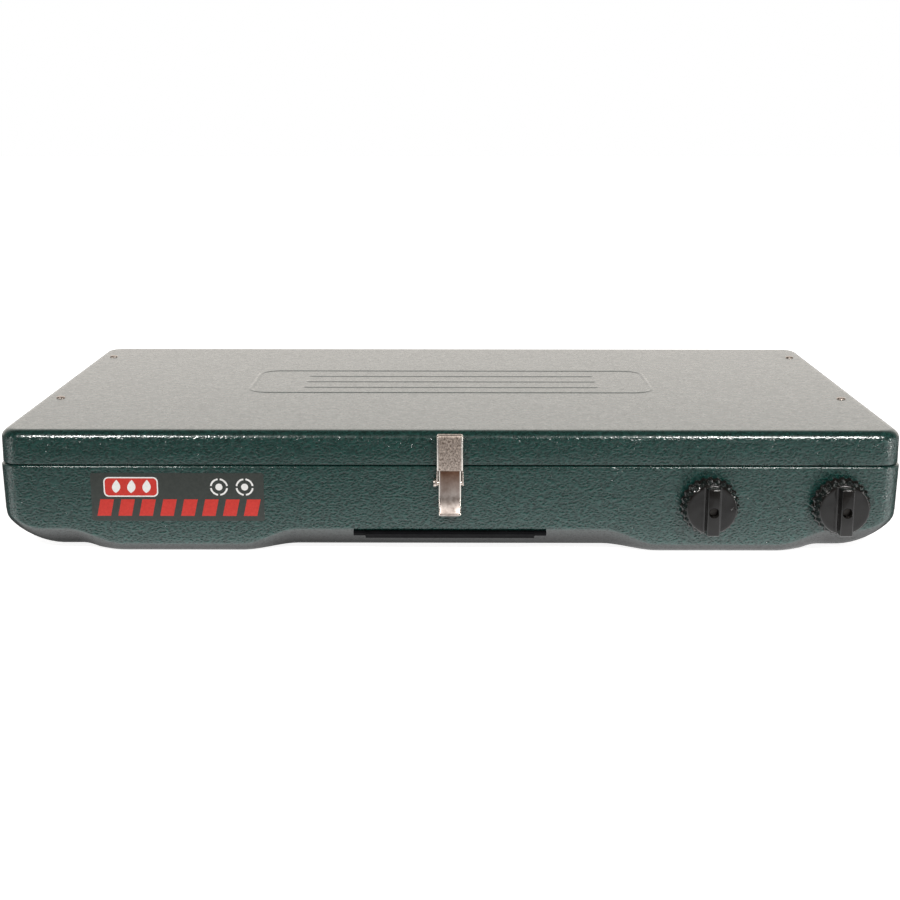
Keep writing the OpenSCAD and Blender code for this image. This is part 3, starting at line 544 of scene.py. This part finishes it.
def case_shell():
    up_in = LID_INSET + SHEET + 0.4
    rim = 1.1
    outer = [(up_in + 0.3, CASE_HI.z), (up_in, CASE_HI.z - 0.3), (up_in, SEAM + 0.3), (up_in - 0.3, SEAM)]
    outer += arc((rim, SEAM - rim), rim, 90, 180, 6)
    outer += [(wall_inset(z), z) for z in (SEAM - 3, SEAM - 12, SEAM - 24)]
    rings = [(i, z, CORNER, i) for i, z in outer]
    low = SILL + 5
    rings.append((lambda x: wall_inset(low), lambda x: mix(low, END_SILL + 3, end_share(x)), CORNER,
                  wall_inset(END_SILL + 3)))
    rings += [(lambda x: DRAFT - 0.04, sill_height(1.2), CORNER, DRAFT - 0.04),
              (lambda x: DRAFT, sill_height(0.35), CORNER, DRAFT),
              (lambda x: DRAFT + 0.12, sill_height(-0.15), CORNER, DRAFT + 0.03)]
    rings += turn_rings(0.0)[1:]
    outer_count = len(rings)
    rings += list(reversed(turn_rings(SHEET)))
    inner = [(wall_inset(z) + SHEET, z) for z in (SEAM - 24, SEAM - 12, SEAM - 3)]
    inner += [(SHEET + 0.3, SEAM - SHEET), (up_in + SHEET, SEAM - SHEET)]
    inner += [(up_in + SHEET, CASE_HI.z - 0.3), (up_in + SHEET - 0.3, CASE_HI.z)]
    rings += [(i, z, CORNER, i) for i, z in inner]
    verts, faces = sheet_shell(rings, outer_count)
    piece = mesh_object("case_shell", verts, faces, "case", GREEN, ["lower_case"], sharp=50)
    cut(piece, case_holes())
    return piece


def hole(axis, x, y, z, radius, length):
    """A round cutter centred on a point, along a row axis."""
    turn = {"x": Matrix.Rotation(math.pi / 2, 4, "Y"), "y": Matrix.Rotation(math.pi / 2, 4, "X"),
            "z": Matrix.Identity(4)}[axis]
    place = Matrix.Translation((x, y, z)) @ turn
    half = length / 2
    return lathe([(0, -half), (radius, -half), (radius, half), (0, half)], 48, place)


def case_holes():
    holes = []
    for node in ("valve_stem_left", "valve_stem_right"):
        lo, hi = cad(node)
        centre = (lo + hi) / 2
        holes.append(hole("y", centre.x, FRONT, centre.z, 6.3, 16))
    lo, hi = cad("inlet_fitting")
    holes.append(hole("x", HALF_W, (lo.y + hi.y) / 2, (lo.z + hi.z) / 2, 10.3, 12))
    return holes


def cut(piece, cutters):
    """Cuts closed forms out of a piece."""
    verts, faces = joined(cutters)
    mesh = bpy.data.meshes.new("cutter")
    mesh.from_pydata([tuple(c * MM for c in v) for v in verts], [], faces)
    bm = bmesh.new()
    bm.from_mesh(mesh)
    bmesh.ops.recalc_face_normals(bm, faces=bm.faces)
    bm.to_mesh(mesh)
    bm.free()
    cutter = bpy.data.objects.new("cutter", mesh)
    bpy.context.scene.collection.objects.link(cutter)
    modifier = piece.modifiers.new("cut", "BOOLEAN")
    modifier.object = cutter
    modifier.operation = "DIFFERENCE"
    modifier.solver = "EXACT"
    bpy.context.view_layer.update()
    apply_modifiers(piece)
    bpy.data.objects.remove(cutter)
    shade(piece, 50)


def lid_shell():
    bend = 6.0
    foot = LID_LO.z
    outer = [(LID_INSET + 0.8, foot), (LID_INSET + 0.5, foot + 0.1), (LID_INSET + 0.15, foot + 0.5),
             (LID_INSET, foot + 1.1)]
    outer += [(LID_INSET, foot + 8)]
    outer += arc((LID_INSET + bend, TOP - bend), bend, 180, 90, 16)
    outer += [(LID_INSET + bend + 3, TOP)]
    inner_bend = bend - SHEET
    inner = [(LID_INSET + bend + 3, TOP - SHEET)]
    inner += arc((LID_INSET + bend, TOP - bend), inner_bend, 90, 180, 10)
    inner += [(LID_INSET + SHEET, foot + 0.3)]
    rings = [(i, z, CORNER, i) for i, z in outer + inner]
    shell = sheet_shell(rings, len(outer))
    parts = [shell] + lid_ridges()
    verts, faces = joined(parts)
    return mesh_object("lid_shell", verts, faces, "lid", GREEN, ["lid"], sharp=50)


def stadium(half_w, half_d, radius, steps=10):
    """Anticlockwise rounded rectangle about the origin."""
    points = []
    for k, (sx, sy) in enumerate(((1, 1), (-1, 1), (-1, -1), (1, -1))):
        for s in range(steps + 1):
            a = math.pi / 2 * (k + s / steps)
            points.append((sx * (half_w - radius) + radius * math.cos(a),
                           sy * (half_d - radius) + radius * math.sin(a)))
    return points


def swell(rings, base):
    """A low raised form from rings of (points, height above the sheet)."""
    verts, faces = [], []
    count = len(rings[0][0])
    for points, height in rings:
        verts += [(x, y, base + height) for x, y in points]
    for i in range(len(rings) - 1):
        faces += ring_faces(i * count, (i + 1) * count, count)
    return verts, faces, count


def lid_ridges():
    """A pressed frame and three ribs, blended into the lid's top."""
    centre_y = FRONT + 173
    half_w, half_d, radius = 143.0, 45.0, 16.0
    width = 4.4
    parts = []
    steps = 8
    rings = []
    for k in range(steps + 1):
        u = k / steps
        inset = u * width - 0.6
        points = [(x, y + centre_y) for x, y in stadium(half_w - inset, half_d - inset, radius - inset)]
        rings.append((points, RIDGE * 0.62 * math.sin(math.pi * u) ** 2 - 0.02))
    rings.append(([(x, y + centre_y) for x, y in stadium(half_w - width / 2, half_d - width / 2,
                                                         radius - width / 2)], -0.4))
    verts, faces, count = swell(rings, TOP)
    faces += ring_faces((len(rings) - 1) * count, 0, count)
    parts.append((verts, faces))
    for dy in (-22, 0, 22):
        rings = []
        for k in range(7):
            u = k / 6
            inset = 2.6 * u
            points = [(x, y + centre_y + dy) for x, y in stadium(106 - inset, 4.4 - inset, 4.3 - inset, 8)]
            rings.append((points, RIDGE * 0.55 * smooth(u) - 0.02))
        verts, faces, count = swell(rings, TOP)
        faces.append(tuple(range(len(verts) - count, len(verts))))
        faces.append(tuple(range(count))[::-1])
        parts.append((verts, faces))
    return parts


# ---------- knobs ----------

TEETH = 24


def knob(name, node, body, pointer):
    lo, hi = cad(node)
    x, z = (lo.x + hi.x) / 2, (lo.z + hi.z) / 2
    back = hi.y
    skirt_r = (hi.x - lo.x) / 2
    reach = hi.y - lo.y
    face = reach - 8.0
    place = facing_front(x, back, z)

    def toothed(r, h, a):
        wave = smooth(0.5 + 1.3 * math.cos(TEETH * a))
        depth = 1.1 if h < 3.3 else 1.1 * (1 - 0.4 * (h - 3.3) / (face - 4.6))
        return r - depth * (1 - wave) if r > 15.0 and h < face - 1.2 else r

    rim_r, rounding = 15.5, 0.9
    profile = [(0, 5.4), (12, 5.4), (12, 0.2), (skirt_r - 1.6, 0.2), (skirt_r - 0.3, 0.7), (skirt_r, 1.2),
               (skirt_r, 2.6), (skirt_r - 0.4, 3.2), (17.5, 3.6), (17.1, 6.0), (16.7, 8.5), (16.4, 10.2),
               (16.2, face - 1.5), (rim_r, face - 1.1)]
    profile += [(rim_r - rounding + rounding * math.cos(t), face - rounding + rounding * math.sin(t))
                for t in (0.0, 0.3, 0.6, 0.9, 1.2, math.pi / 2)]
    profile += [(13.0, face - 0.05), (0, face - 0.1)]
    disc = lathe(profile, TEETH * 8, place, toothed)
    parts = [disc] + knob_grip(face, reach, place) + pointer_mark(face, place, pointer)
    return mesh_object(name, *joined(parts), body, BLACK, [node], sharp=32)


def knob_grip(face, reach, place):
    """The grip bar: a tapered, rounded wall with a screw hole, and a lower shoulder beside it."""
    bm = bmesh.new()
    rows = [(face - 3.0, 6.3, 13.6), (face - 0.25, 6.3, 13.6), (face + 0.1, 5.2, 14.1),
            (face + 0.7, 4.5, 14.4), (face + 1.7, 4.15, 14.7), (reach - 1.5, 3.95, 15.0),
            (reach, 3.8, 14.7)]
    corners = ((1, 1), (-1, 1), (-1, -1), (1, -1))
    loops = []
    for h, half_w, half_h in rows:
        loops.append([bm.verts.new((sx * half_w, sy * half_h, h)) for sx, sy in corners])
    for lower, upper in zip(loops, loops[1:]):
        for k in range(4):
            bm.faces.new((lower[k], lower[(k + 1) % 4], upper[(k + 1) % 4], upper[k]))
    bm.faces.new(loops[-1])
    bm.faces.new(list(reversed(loops[0])))
    edges = []
    for edge in bm.edges:
        low, high = sorted(v.co.z for v in edge.verts)
        if high > face + 2 and (high - low > 0.001 or low > reach - 0.1):
            edges.append(edge)
    bmesh.ops.bevel(bm, geom=edges, offset=0.95, segments=5, profile=0.5, affect="EDGES")
    bmesh.ops.recalc_face_normals(bm, faces=bm.faces)
    mesh = bpy.data.meshes.new("grip")
    bm.to_mesh(mesh)
    bm.free()
    grip = bpy.data.objects.new("grip", mesh)
    bpy.context.scene.collection.objects.link(grip)
    bore = bpy.data.meshes.new("bore")
    verts, faces = lathe([(0, face + 0.5), (2.9, face + 0.5), (2.9, reach - 0.3), (3.3, reach + 0.1),
                          (3.3, reach + 2), (0, reach + 2)], 40)
    bore.from_pydata([tuple(v) for v in verts], [], faces)
    cutter = bpy.data.objects.new("bore", bore)
    bpy.context.scene.collection.objects.link(cutter)
    modifier = grip.modifiers.new("bore", "BOOLEAN")
    modifier.object = cutter
    modifier.solver = "EXACT"
    bpy.context.view_layer.update()
    apply_modifiers(grip)
    verts = [place @ v.co for v in grip.data.vertices]
    faces = [tuple(p.vertices) for p in grip.data.polygons]
    bpy.data.objects.remove(grip)
    bpy.data.objects.remove(cutter)
    return [(verts, faces)]


def pointer_mark(face, place, pointer):
    """A small raised arrowhead at the knob's rim."""
    if not pointer:
        return []
    outline = [(15.2, 0.0), (13.1, 1.7), (11.0, 0.0), (13.1, -1.7)]
    low = [Vector((x, y, face - 1.0)) for x, y in outline]
    high = [Vector((13.1 + (x - 13.1) * 0.7, y * 0.7, face + 0.7)) for x, y in outline]
    verts = [place @ v for v in low + high]
    faces = ring_faces(0, 4, 4) + [(4, 5, 6, 7), (3, 2, 1, 0)]
    return [(verts, faces)]


# ---------- label ----------


def on_front(x, z, lift):
    """A point on the front wall's outside, lifted off it."""
    y = FRONT + wall_inset(z) - lift
    return (x, y, z)


def printed(name, outlines, lift, thickness, material, replaced=()):
    """Flat printed shapes on the front wall from outlines of (x, z)."""
    verts, faces = [], []
    for outline in outlines:
        start, count = len(verts), len(outline)
        verts += [on_front(x, z, lift) for x, z in outline]
        verts += [on_front(x, z, lift - thickness) for x, z in outline]
        faces.append(tuple(range(start, start + count)))
        faces.append(tuple(range(start + count, start + 2 * count))[::-1])
        faces += ring_faces(start, start + count, count)
    return mesh_object(name, verts, faces, "case", material, replaced)


def shifted(points, x, z):
    return [(px + x, pz + z) for px, pz in points]


def ring_arc(x, z, outer, inner, start, end, steps=24):
    """A stroke along an arc, as one outline."""
    out = []
    for r, order in ((outer, range(steps + 1)), (inner, range(steps, -1, -1))):
        for k in order:
            a = math.radians(mix(start, end, k / steps))
            out.append((x + r * math.cos(a), z + r * math.sin(a)))
    return out


def flame(x, z, s):
    """A plain flame: two curved sides that meet in a point."""
    left, right = [], []
    for k in range(13):
        t = k / 12
        bulge = math.sin(math.pi * min(1, t * 1.02)) ** 0.8 * (1 - 0.35 * t)
        left.append((x - s * 0.42 * bulge + s * 0.1 * t, z + s * (1.15 * t - 0.5)))
        right.append((x + s * 0.42 * bulge + s * 0.1 * t, z + s * (1.15 * t - 0.5)))
    return right + left[::-1][1:-1]


def label():
    lo, hi = cad("label")
    film_z = (lo.z + hi.z) / 2
    film_x = (lo.x + hi.x) / 2
    half_w, half_h = (hi.x - lo.x) / 2, (hi.z - lo.z) / 2 - 0.02
    film = shifted(stadium(half_w, half_h, 1.2, 6), film_x, film_z)
    printed("label_film", [film], 0.17, 0.12, FILM, ["label"])
    badge_x, badge_z = lo.x + 25, hi.z - 9
    printed("label_badge_edge", [shifted(stadium(17, 6.4, 3.2, 8), badge_x, badge_z)], 0.20, 0.04, WHITE)
    printed("label_badge", [shifted(stadium(16.2, 5.6, 2.5, 8), badge_x, badge_z)], 0.22, 0.04, RED)
    flames = [flame(badge_x + dx, badge_z - 0.2, 7.4) for dx in (-9.5, 0, 9.5)]
    printed("label_flames", flames, 0.24, 0.04, WHITE)
    rings = []
    for dx in (-28, -12):
        for start in (8, 98, 188, 278):
            rings.append(ring_arc(hi.x + dx, badge_z, 5.6, 4.5, start, start + 74))
        rings.append(shifted(stadium(2.2, 2.2, 2.19, 8), hi.x + dx, badge_z))
    printed("label_burner_rings", rings, 0.20, 0.04, WHITE)
    bars = []
    bar_low, bar_high = lo.z + 3.2, lo.z + 14.0
    slant, gap, width = 2.4, 2.2, 10.9
    for k in range(8):
        x0 = lo.x + 3.2 + k * (width + gap)
        bars.append([(x0, bar_low), (x0 + width - slant, bar_low), (x0 + width, bar_high),
                     (x0 + slant, bar_high)])
    printed("label_stripes", bars, 0.20, 0.04, RED)


# ---------- rounded CAD nodes, rivets, feet ------


def rounded_cad(node, width, material):
    """A CAD node that stays as it is, with rounded edges and a material."""
    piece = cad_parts[node]
    piece.data.materials.clear()
    piece.data.materials.append(material)
    weld = piece.modifiers.new("weld", "WELD")
    weld.merge_threshold = 1e-6
    if width:
        bevel = piece.modifiers.new("round", "BEVEL")
        bevel.width = width * MM
        bevel.segments = 3
        bevel.limit_method = "ANGLE"
        bevel.angle_limit = math.radians(30)
        bevel.harden_normals = False


def dome(r, h, steps=6):
    """Profile of a domed rivet head above height 0."""
    return [(r, 0), (r, h * 0.25)] + [
        (r * math.cos(math.pi / 2 * k / steps), h * (0.25 + 0.75 * math.sin(math.pi / 2 * k / steps)))
        for k in range(1, steps)
    ] + [(0, h)]


def rivets(name, node, body, material, places, head_r, head_h, shank_r, length):
    """Domed rivets, their heads along each place's local +Z."""
    parts = []
    for place in places:
        profile = [(0, -length), (shank_r * 1.45, -length), (shank_r * 1.45, -length + 0.6),
                   (shank_r, -length + 0.7), (shank_r, 0)] + dome(head_r, head_h)
        parts.append(lathe(profile, 36, place))
    return mesh_object(name, *joined(parts), body, material, [node], sharp=40)


def four_lid_rivets():
    lo, hi = cad("lid_rivets")
    head = 3.0
    places = [Matrix.Translation((x, y, TOP))
              for x in (lo.x + head, hi.x - head) for y in (lo.y + head, hi.y - head)]
    rivets("lid_rivet_heads", "lid_rivets", "lid", NICKEL, places, head, hi.z - TOP, 1.6, TOP - lo.z)


def feet():
    lo, hi = cad("rubber_feet")
    r = 9.0
    parts = []
    for x in (lo.x + r, hi.x - r):
        for y in (lo.y + r, hi.y - r):
            profile = [(0, 0.5), (4.6, 0.5), (5.2, 0.0), (7.3, 0.0), (7.9, 0.25), (8.2, 0.8),
                       (8.9, FLOOR - 1.0), (8.95, FLOOR - 0.3), (8.6, FLOOR - 0.02), (3.0, FLOOR - 0.02),
                       (3.0, FLOOR + 1.05), (4.2, FLOOR + 1.2), (3.6, FLOOR + 2.4), (2.4, hi.z), (0, hi.z)]
            parts.append(lathe(profile, 48, Matrix.Translation((x, y, 0))))
    mesh_object("feet_rubber", *joined(parts), "case", RUBBER, ["rubber_feet"], sharp=35)


# ---------- latch ----------


def pressed_part(name, rows, body, material, replaced, cap=False, extra=()):
    """Nickel sheet 1 mm thick: rows (z, face y, half width, back y, corner radius) of a channel."""
    verts, faces = [], []
    count = 0
    for z, face, half, back, r in rows:
        line = [(-half, back), (-half, face + r)]
        line += [(-half + r - r * math.cos(t), face + r - r * math.sin(t)) for t in (0.4, 0.8, 1.2)]
        line += [(-half + r, face), (-half * 0.33, face)]
        line += [(-x, y) for x, y in reversed(line)]
        count = len(line)
        verts += [(x, y, z) for x, y in line]
    for i in range(len(rows) - 1):
        faces += ring_faces(i * count, (i + 1) * count, count, closed=False)
    if cap:
        faces.append(tuple(range(len(verts) - count, len(verts))))
    mesh = bpy.data.meshes.new(name)
    mesh.from_pydata([tuple(c * MM for c in v) for v in verts], [], faces)
    sheet = bpy.data.objects.new(name, mesh)
    bpy.context.scene.collection.objects.link(sheet)
    solid = sheet.modifiers.new("sheet", "SOLIDIFY")
    solid.thickness = 0.95 * MM
    solid.offset = -1.0 if outward(mesh) else 1.0
    solid.use_even_offset = True
    bpy.context.view_layer.update()
    apply_modifiers(sheet)
    verts = [v.co / MM for v in sheet.data.vertices]
    faces = [tuple(f.vertices) for f in sheet.data.polygons]
    bpy.data.objects.remove(sheet)
    return mesh_object(name, *joined([(verts, faces), *extra]), body, material, replaced, sharp=45)


def outward(mesh):
    """Whether the faces on the front of a sheet already look to the front."""
    return sum(p.normal.y * p.area for p in mesh.polygons) < 0


def side_plate(outline, x0, x1, rounding=0.25, splay=0.0):
    """A plate between two x values from an outline of (y, z), its lower end leaning out by splay."""
    bm = bmesh.new()
    near = [bm.verts.new((x0, y, z)) for y, z in outline]
    far = [bm.verts.new((x1, y, z)) for y, z in outline]
    count = len(outline)
    bm.faces.new(near)
    bm.faces.new(far[::-1])
    for i in range(count):
        bm.faces.new((near[i], far[i], far[(i + 1) % count], near[(i + 1) % count]))
    bmesh.ops.recalc_face_normals(bm, faces=bm.faces)
    rims = [e for e in bm.edges if abs(e.verts[0].co.x - e.verts[1].co.x) < 1e-6]
    bmesh.ops.bevel(bm, geom=rims, offset=rounding, segments=2, profile=0.5, affect="EDGES")
    top = max(z for _, z in outline)
    low = min(z for _, z in outline)
    side = math.copysign(1, x0 + x1)
    bm.verts.index_update()
    verts = [(v.co.x + side * splay * (top - v.co.z) / (top - low), v.co.y, v.co.z) for v in bm.verts]
    faces = [tuple(v.index for v in f.verts) for f in bm.faces]
    bm.free()
    return verts, faces


def round_ear(y, z, radius, top_z, half):
    """Outline (y, z) of an ear: round at the bottom about a pin, straight up to top_z."""
    bottom = [(y + radius * math.cos(math.radians(a)), z + radius * math.sin(math.radians(a)))
              for a in range(180, 361, 20)]
    return bottom + [(y + half, top_z), (y - half, top_z)]


def latch():
    lo, hi = cad("latch_hook")
    pin_lo, pin_hi = cad("latch_hook_pin")
    pin_y, pin_z = (pin_lo.y + pin_hi.y) / 2, (pin_lo.z + pin_hi.z) / 2
    half, face, back = (hi.x - lo.x) / 2, lo.y, FRONT - 1.8
    low = SEAM - 1.4
    rows = [(low, face + 0.45, half - 0.2, back, 1.7), (low + 0.15, face + 0.12, half, back, 1.7),
            (low + 0.5, face, half, back, 1.7), (hi.z - 1.4, face, half, back, 1.7)]
    for a in (20, 40, 60, 78, 90):
        turn = 1 - math.cos(math.radians(a))
        rows.append((hi.z - 1.2 + 1.2 * math.sin(math.radians(a)), face + 1.1 * turn, half - 1.5 * turn,
                     back - 0.4, 1.7 - 0.4 * turn))
    ears = []
    for side in (-1, 1):
        outline = round_ear(pin_y, pin_z, 2.1, low + 1.0, 2.0)
        ears.append(side_plate(outline, side * (half - 0.95), side * half, 0.2, 0.3))
    pressed_part("latch_hook_plate", rows, "latch_hook", HOOK_NICKEL, ["latch_hook"], cap=True, extra=ears)

    lo, hi = cad("latch_lever")
    half, top, bottom = (hi.x - lo.x) / 2, hi.z, lo.z
    face, back = FRONT - 5.6, FRONT - 0.9
    bend = bottom + 8.8
    out_most = face - lo.y - 0.4
    rows = [(z, face, half, back, 1.4) for z in (top, bend + 4.5, bend + 3.2)]
    for step in range(1, 9):
        share = step / 8
        z = mix(bend + 2.6, bottom + 1.0, share)
        out = out_most * share ** 1.55 * 0.97
        rows.append((z, face - out, half, face - out + mix(4.0, 2.2, share), 1.4))
    for dz, trim in ((0.55, 0.15), (0.2, 0.5), (0.0, 1.0)):
        rows.append((bottom + dz, face - out_most + trim * 0.2, half - trim, face - out_most + 2.1, 1.2))
    pressed_part("latch_lever_plate", rows, "latch_lever", LEVER_NICKEL, ["latch_lever"])


# ---------- inside ----------


def carried_over():
    """CAD nodes whose shapes are right: rounded edges and materials only."""
    plan = {
        NICKEL: [("latch_base", 0.15), ("latch_base_rivets", 0.3), ("latch_lever_pin", 0.2),
                 ("latch_hook_pin", 0.3), ("latch_catch", 0.3), ("latch_catch_rivets", 0.3),
                 ("hinge_case_leaves", 0.3), ("hinge_lid_leaves", 0.3), ("hinge_pins", 0.3),
                 ("hinge_case_rivets", 0.3), ("hinge_lid_rivets", 0.3), ("gas_rail", 0.0),
                 ("tray_screws", 0.3), ("burner_screws", 0.3), ("regulator_tube", 0.0),
                 ("handle_stop_pins", 0.2)],
        ALUMINISED: [("drip_tray", 0.3), ("tray_brackets", 0.2), ("grate_clips", 0.2),
                     ("mixer_tube_left", 0.0), ("mixer_tube_right", 0.0), ("handle_guides", 0.3),
                     ("windscreen_clips", 0.25), ("regulator_body", 0.5)],
        BURNER: [("burner_body_left", 0.2), ("burner_body_right", 0.2), ("burner_cap_left", 0.3),
                 ("burner_cap_right", 0.3)],
        CHROME: [("cooking_grate", 0.0), ("windscreen_rods", 0.2)],
        BRASS: [("valve_body_left", 0.4), ("valve_body_right", 0.4), ("valve_nuts", 0.25),
                ("gas_jets", 0.2), ("inlet_fitting", 0.35), ("regulator_plug", 0.3),
                ("valve_stem_left", 0.2), ("valve_stem_right", 0.2)],
        GREEN: [("windscreen_left", 0.2), ("windscreen_right", 0.2)],
        HANDLE_BLACK: [("carry_handle", 0.4)],
        BLACKENED: [("knob_screw_left", 0.2), ("knob_screw_right", 0.2)],
    }
    for material, nodes in plan.items():
        for node, width in nodes:
            rounded_cad(node, width, material)


# ---------- stage ----------


def stage():
    """White floor and backdrop for the camera; reflections see a studio that is bright behind, and a floor
    that glows with painted shadow under the stove and a painted pool of light in front of it.
    """
    size = 6.0
    mesh = bpy.data.meshes.new("floor")
    corners = [(-size, -size, 0), (size, -size, 0), (size, size, 0), (-size, size, 0)]
    mesh.from_pydata(corners, [], [(0, 1, 2, 3)])
    floor = bpy.data.objects.new("floor", mesh)
    bpy.context.scene.collection.objects.link(floor)
    n = Nodes("floor_white")
    split = n.add("ShaderNodeSeparateXYZ")
    n.link(n.add("ShaderNodeNewGeometry").outputs["Position"], split.inputs[0])
    # For reflections the floor glows in a painted pattern: painted shadow under and just in front of the
    # stove, a painted pool of light a few centimetres ahead that fades further out, its spacing pulled in
    # towards the right.
    right = n.math("MULTIPLY", n.math("ADD", split.outputs["X"], 0.05), -1.3)
    ahead = n.math("SUBTRACT", FRONT * MM, split.outputs["Y"])
    ahead = n.math("MULTIPLY", ahead, n.math("ADD", n.math("MINIMUM", right, 0.15), 1.0))
    near = n.ramp(n.math("MULTIPLY", n.math("ADD", ahead, 0.03), 2.0),
                  [(0.0, 0.03), (0.036, 0.09), (0.049, 0.30), (0.064, 0.66), (0.10, 0.48), (0.17, 0.33),
                   (0.30, 0.22), (0.46, (0.086, 0.080, 0.077)), (0.64, (0.032, 0.027, 0.024))])
    seen = n.add("ShaderNodeLightPath").outputs["Is Camera Ray"]
    tone = n.blend(seen, (0.02, 0.02, 0.02), n.ramp(n.noise(3, 2), [(0.3, 0.89), (0.7, 0.90)]))
    reach = n.add("ShaderNodeVectorMath", operation="LENGTH")
    n.link(n.coords, reach.inputs[0])
    far = n.ramp(reach.outputs["Value"], [(0.45, 0.36), (0.75, 0.5)])
    n.link(n.blend(seen, near, far), n.surface.inputs["Emission Color"])
    n.surface.inputs["Emission Strength"].default_value = 2.5
    floor.data.materials.append(n.set(color=tone, rough=0.8, specular=0.1))
    bpy.context.scene.view_settings.view_transform = "Standard"

    world = bpy.data.worlds.new("studio")
    bpy.context.scene.world = world
    world.use_nodes = True
    tree = world.node_tree

    def add(kind, **settings):
        node = tree.nodes.new(kind)
        for key, value in settings.items():
            setattr(node, key, value)
        return node

    def grey(fac, stops):
        ramp = add("ShaderNodeValToRGB")
        tree.links.new(fac, ramp.inputs["Fac"])
        elements = ramp.color_ramp.elements
        while len(elements) < len(stops):
            elements.new(0.5)
        for element, (position, color) in zip(elements, stops):
            rgb = (color,) * 3 if isinstance(color, (int, float)) else color
            element.position = position
            element.color = (*rgb, 1.0)
        return ramp.outputs["Color"]

    split = add("ShaderNodeSeparateXYZ")
    tree.links.new(add("ShaderNodeTexCoord").outputs["Generated"], split.inputs[0])
    behind = grey(split.outputs["Y"], [(0.0, 0.0), (0.35, 0.15), (0.7, 1.0)])
    by_height = grey(split.outputs["Z"], [(0.0, (1.0, 0.95, 0.89)), (0.5, (0.80, 0.77, 0.73)),
                                          (0.86, (0.34, 0.33, 0.32)), (1.0, 0.12)])
    tint = add("ShaderNodeMix", data_type="RGBA")
    tree.links.new(behind, tint.inputs["Factor"])
    tint.inputs["A"].default_value = (0.085, 0.068, 0.058, 1)
    tree.links.new(by_height, tint.inputs["B"])
    background = tree.nodes["Background"]
    tree.links.new(tint.outputs["Result"], background.inputs["Color"])
    background.inputs["Strength"].default_value = 1.0
    white = add("ShaderNodeBackground")
    white.inputs["Color"].default_value = (1, 1, 1, 1)
    blend = add("ShaderNodeMixShader")
    tree.links.new(add("ShaderNodeLightPath").outputs["Is Camera Ray"], blend.inputs["Fac"])
    tree.links.new(background.outputs[0], blend.inputs[1])
    tree.links.new(white.outputs[0], blend.inputs[2])
    tree.links.new(blend.outputs[0], tree.nodes["World Output"].inputs["Surface"])


def area_light(name, place, target, size, power, color=(1, 1, 1)):
    light = bpy.data.lights.new(name, "AREA")
    light.shape = "RECTANGLE"
    light.size, light.size_y = size
    light.energy = power
    light.color = color
    lamp = bpy.data.objects.new(name, light)
    lamp.location = place
    lamp.rotation_euler = (Vector(target) - Vector(place)).to_track_quat("-Z", "Y").to_euler()
    bpy.context.scene.collection.objects.link(lamp)


def lights():
    for name, x, width, power in (("softbox_left", -0.50, 0.21, 6), ("softbox_right", 0.47, 0.32, 8.5)):
        place = (x, FRONT * MM - 1.0, 0.80)
        area_light(name, place, (x * 0.3, 0, 0.06), (width, 0.13), power, (1, 0.985, 0.96))
    for name, side, power in (("strip_left", -1, 0.6), ("strip_right", 1, 1.2)):
        place = (side * 0.9, FRONT * MM - 0.38, 0.14)
        area_light(name, place, (side * 0.05, FRONT * MM, 0.05), (0.12, 0.30), power, (1, 0.985, 0.96))


def camera():
    """Looks down a little at the front, level with a table-top product shot."""
    data = bpy.data.cameras.new("camera")
    data.lens, data.sensor_width = 62.67, 36.0
    data.clip_start = 0.01
    eye = bpy.data.objects.new("camera", data)
    eye.location = Vector((3.5, FRONT - 946.3, SEAM + 226.5)) * MM
    yaw, pitch, roll = (math.radians(a) for a in (0.21, 12.86, 0.04))
    aim = Matrix.Rotation(yaw, 3, "Z") @ Matrix.Rotation(math.pi / 2 - pitch, 3, "X")
    turn = aim @ Matrix.Rotation(roll, 3, "Z")
    eye.rotation_euler = turn.to_euler()
    bpy.context.scene.collection.objects.link(eye)
    bpy.context.scene.camera = eye


case_shell()
lid_shell()
knob("knob_left_cap", "knob_left", "left_knob", True)
knob("knob_right_cap", "knob_right", "right_knob", False)
latch()
label()
four_lid_rivets()
feet()
carried_over()
stage()
lights()
camera()
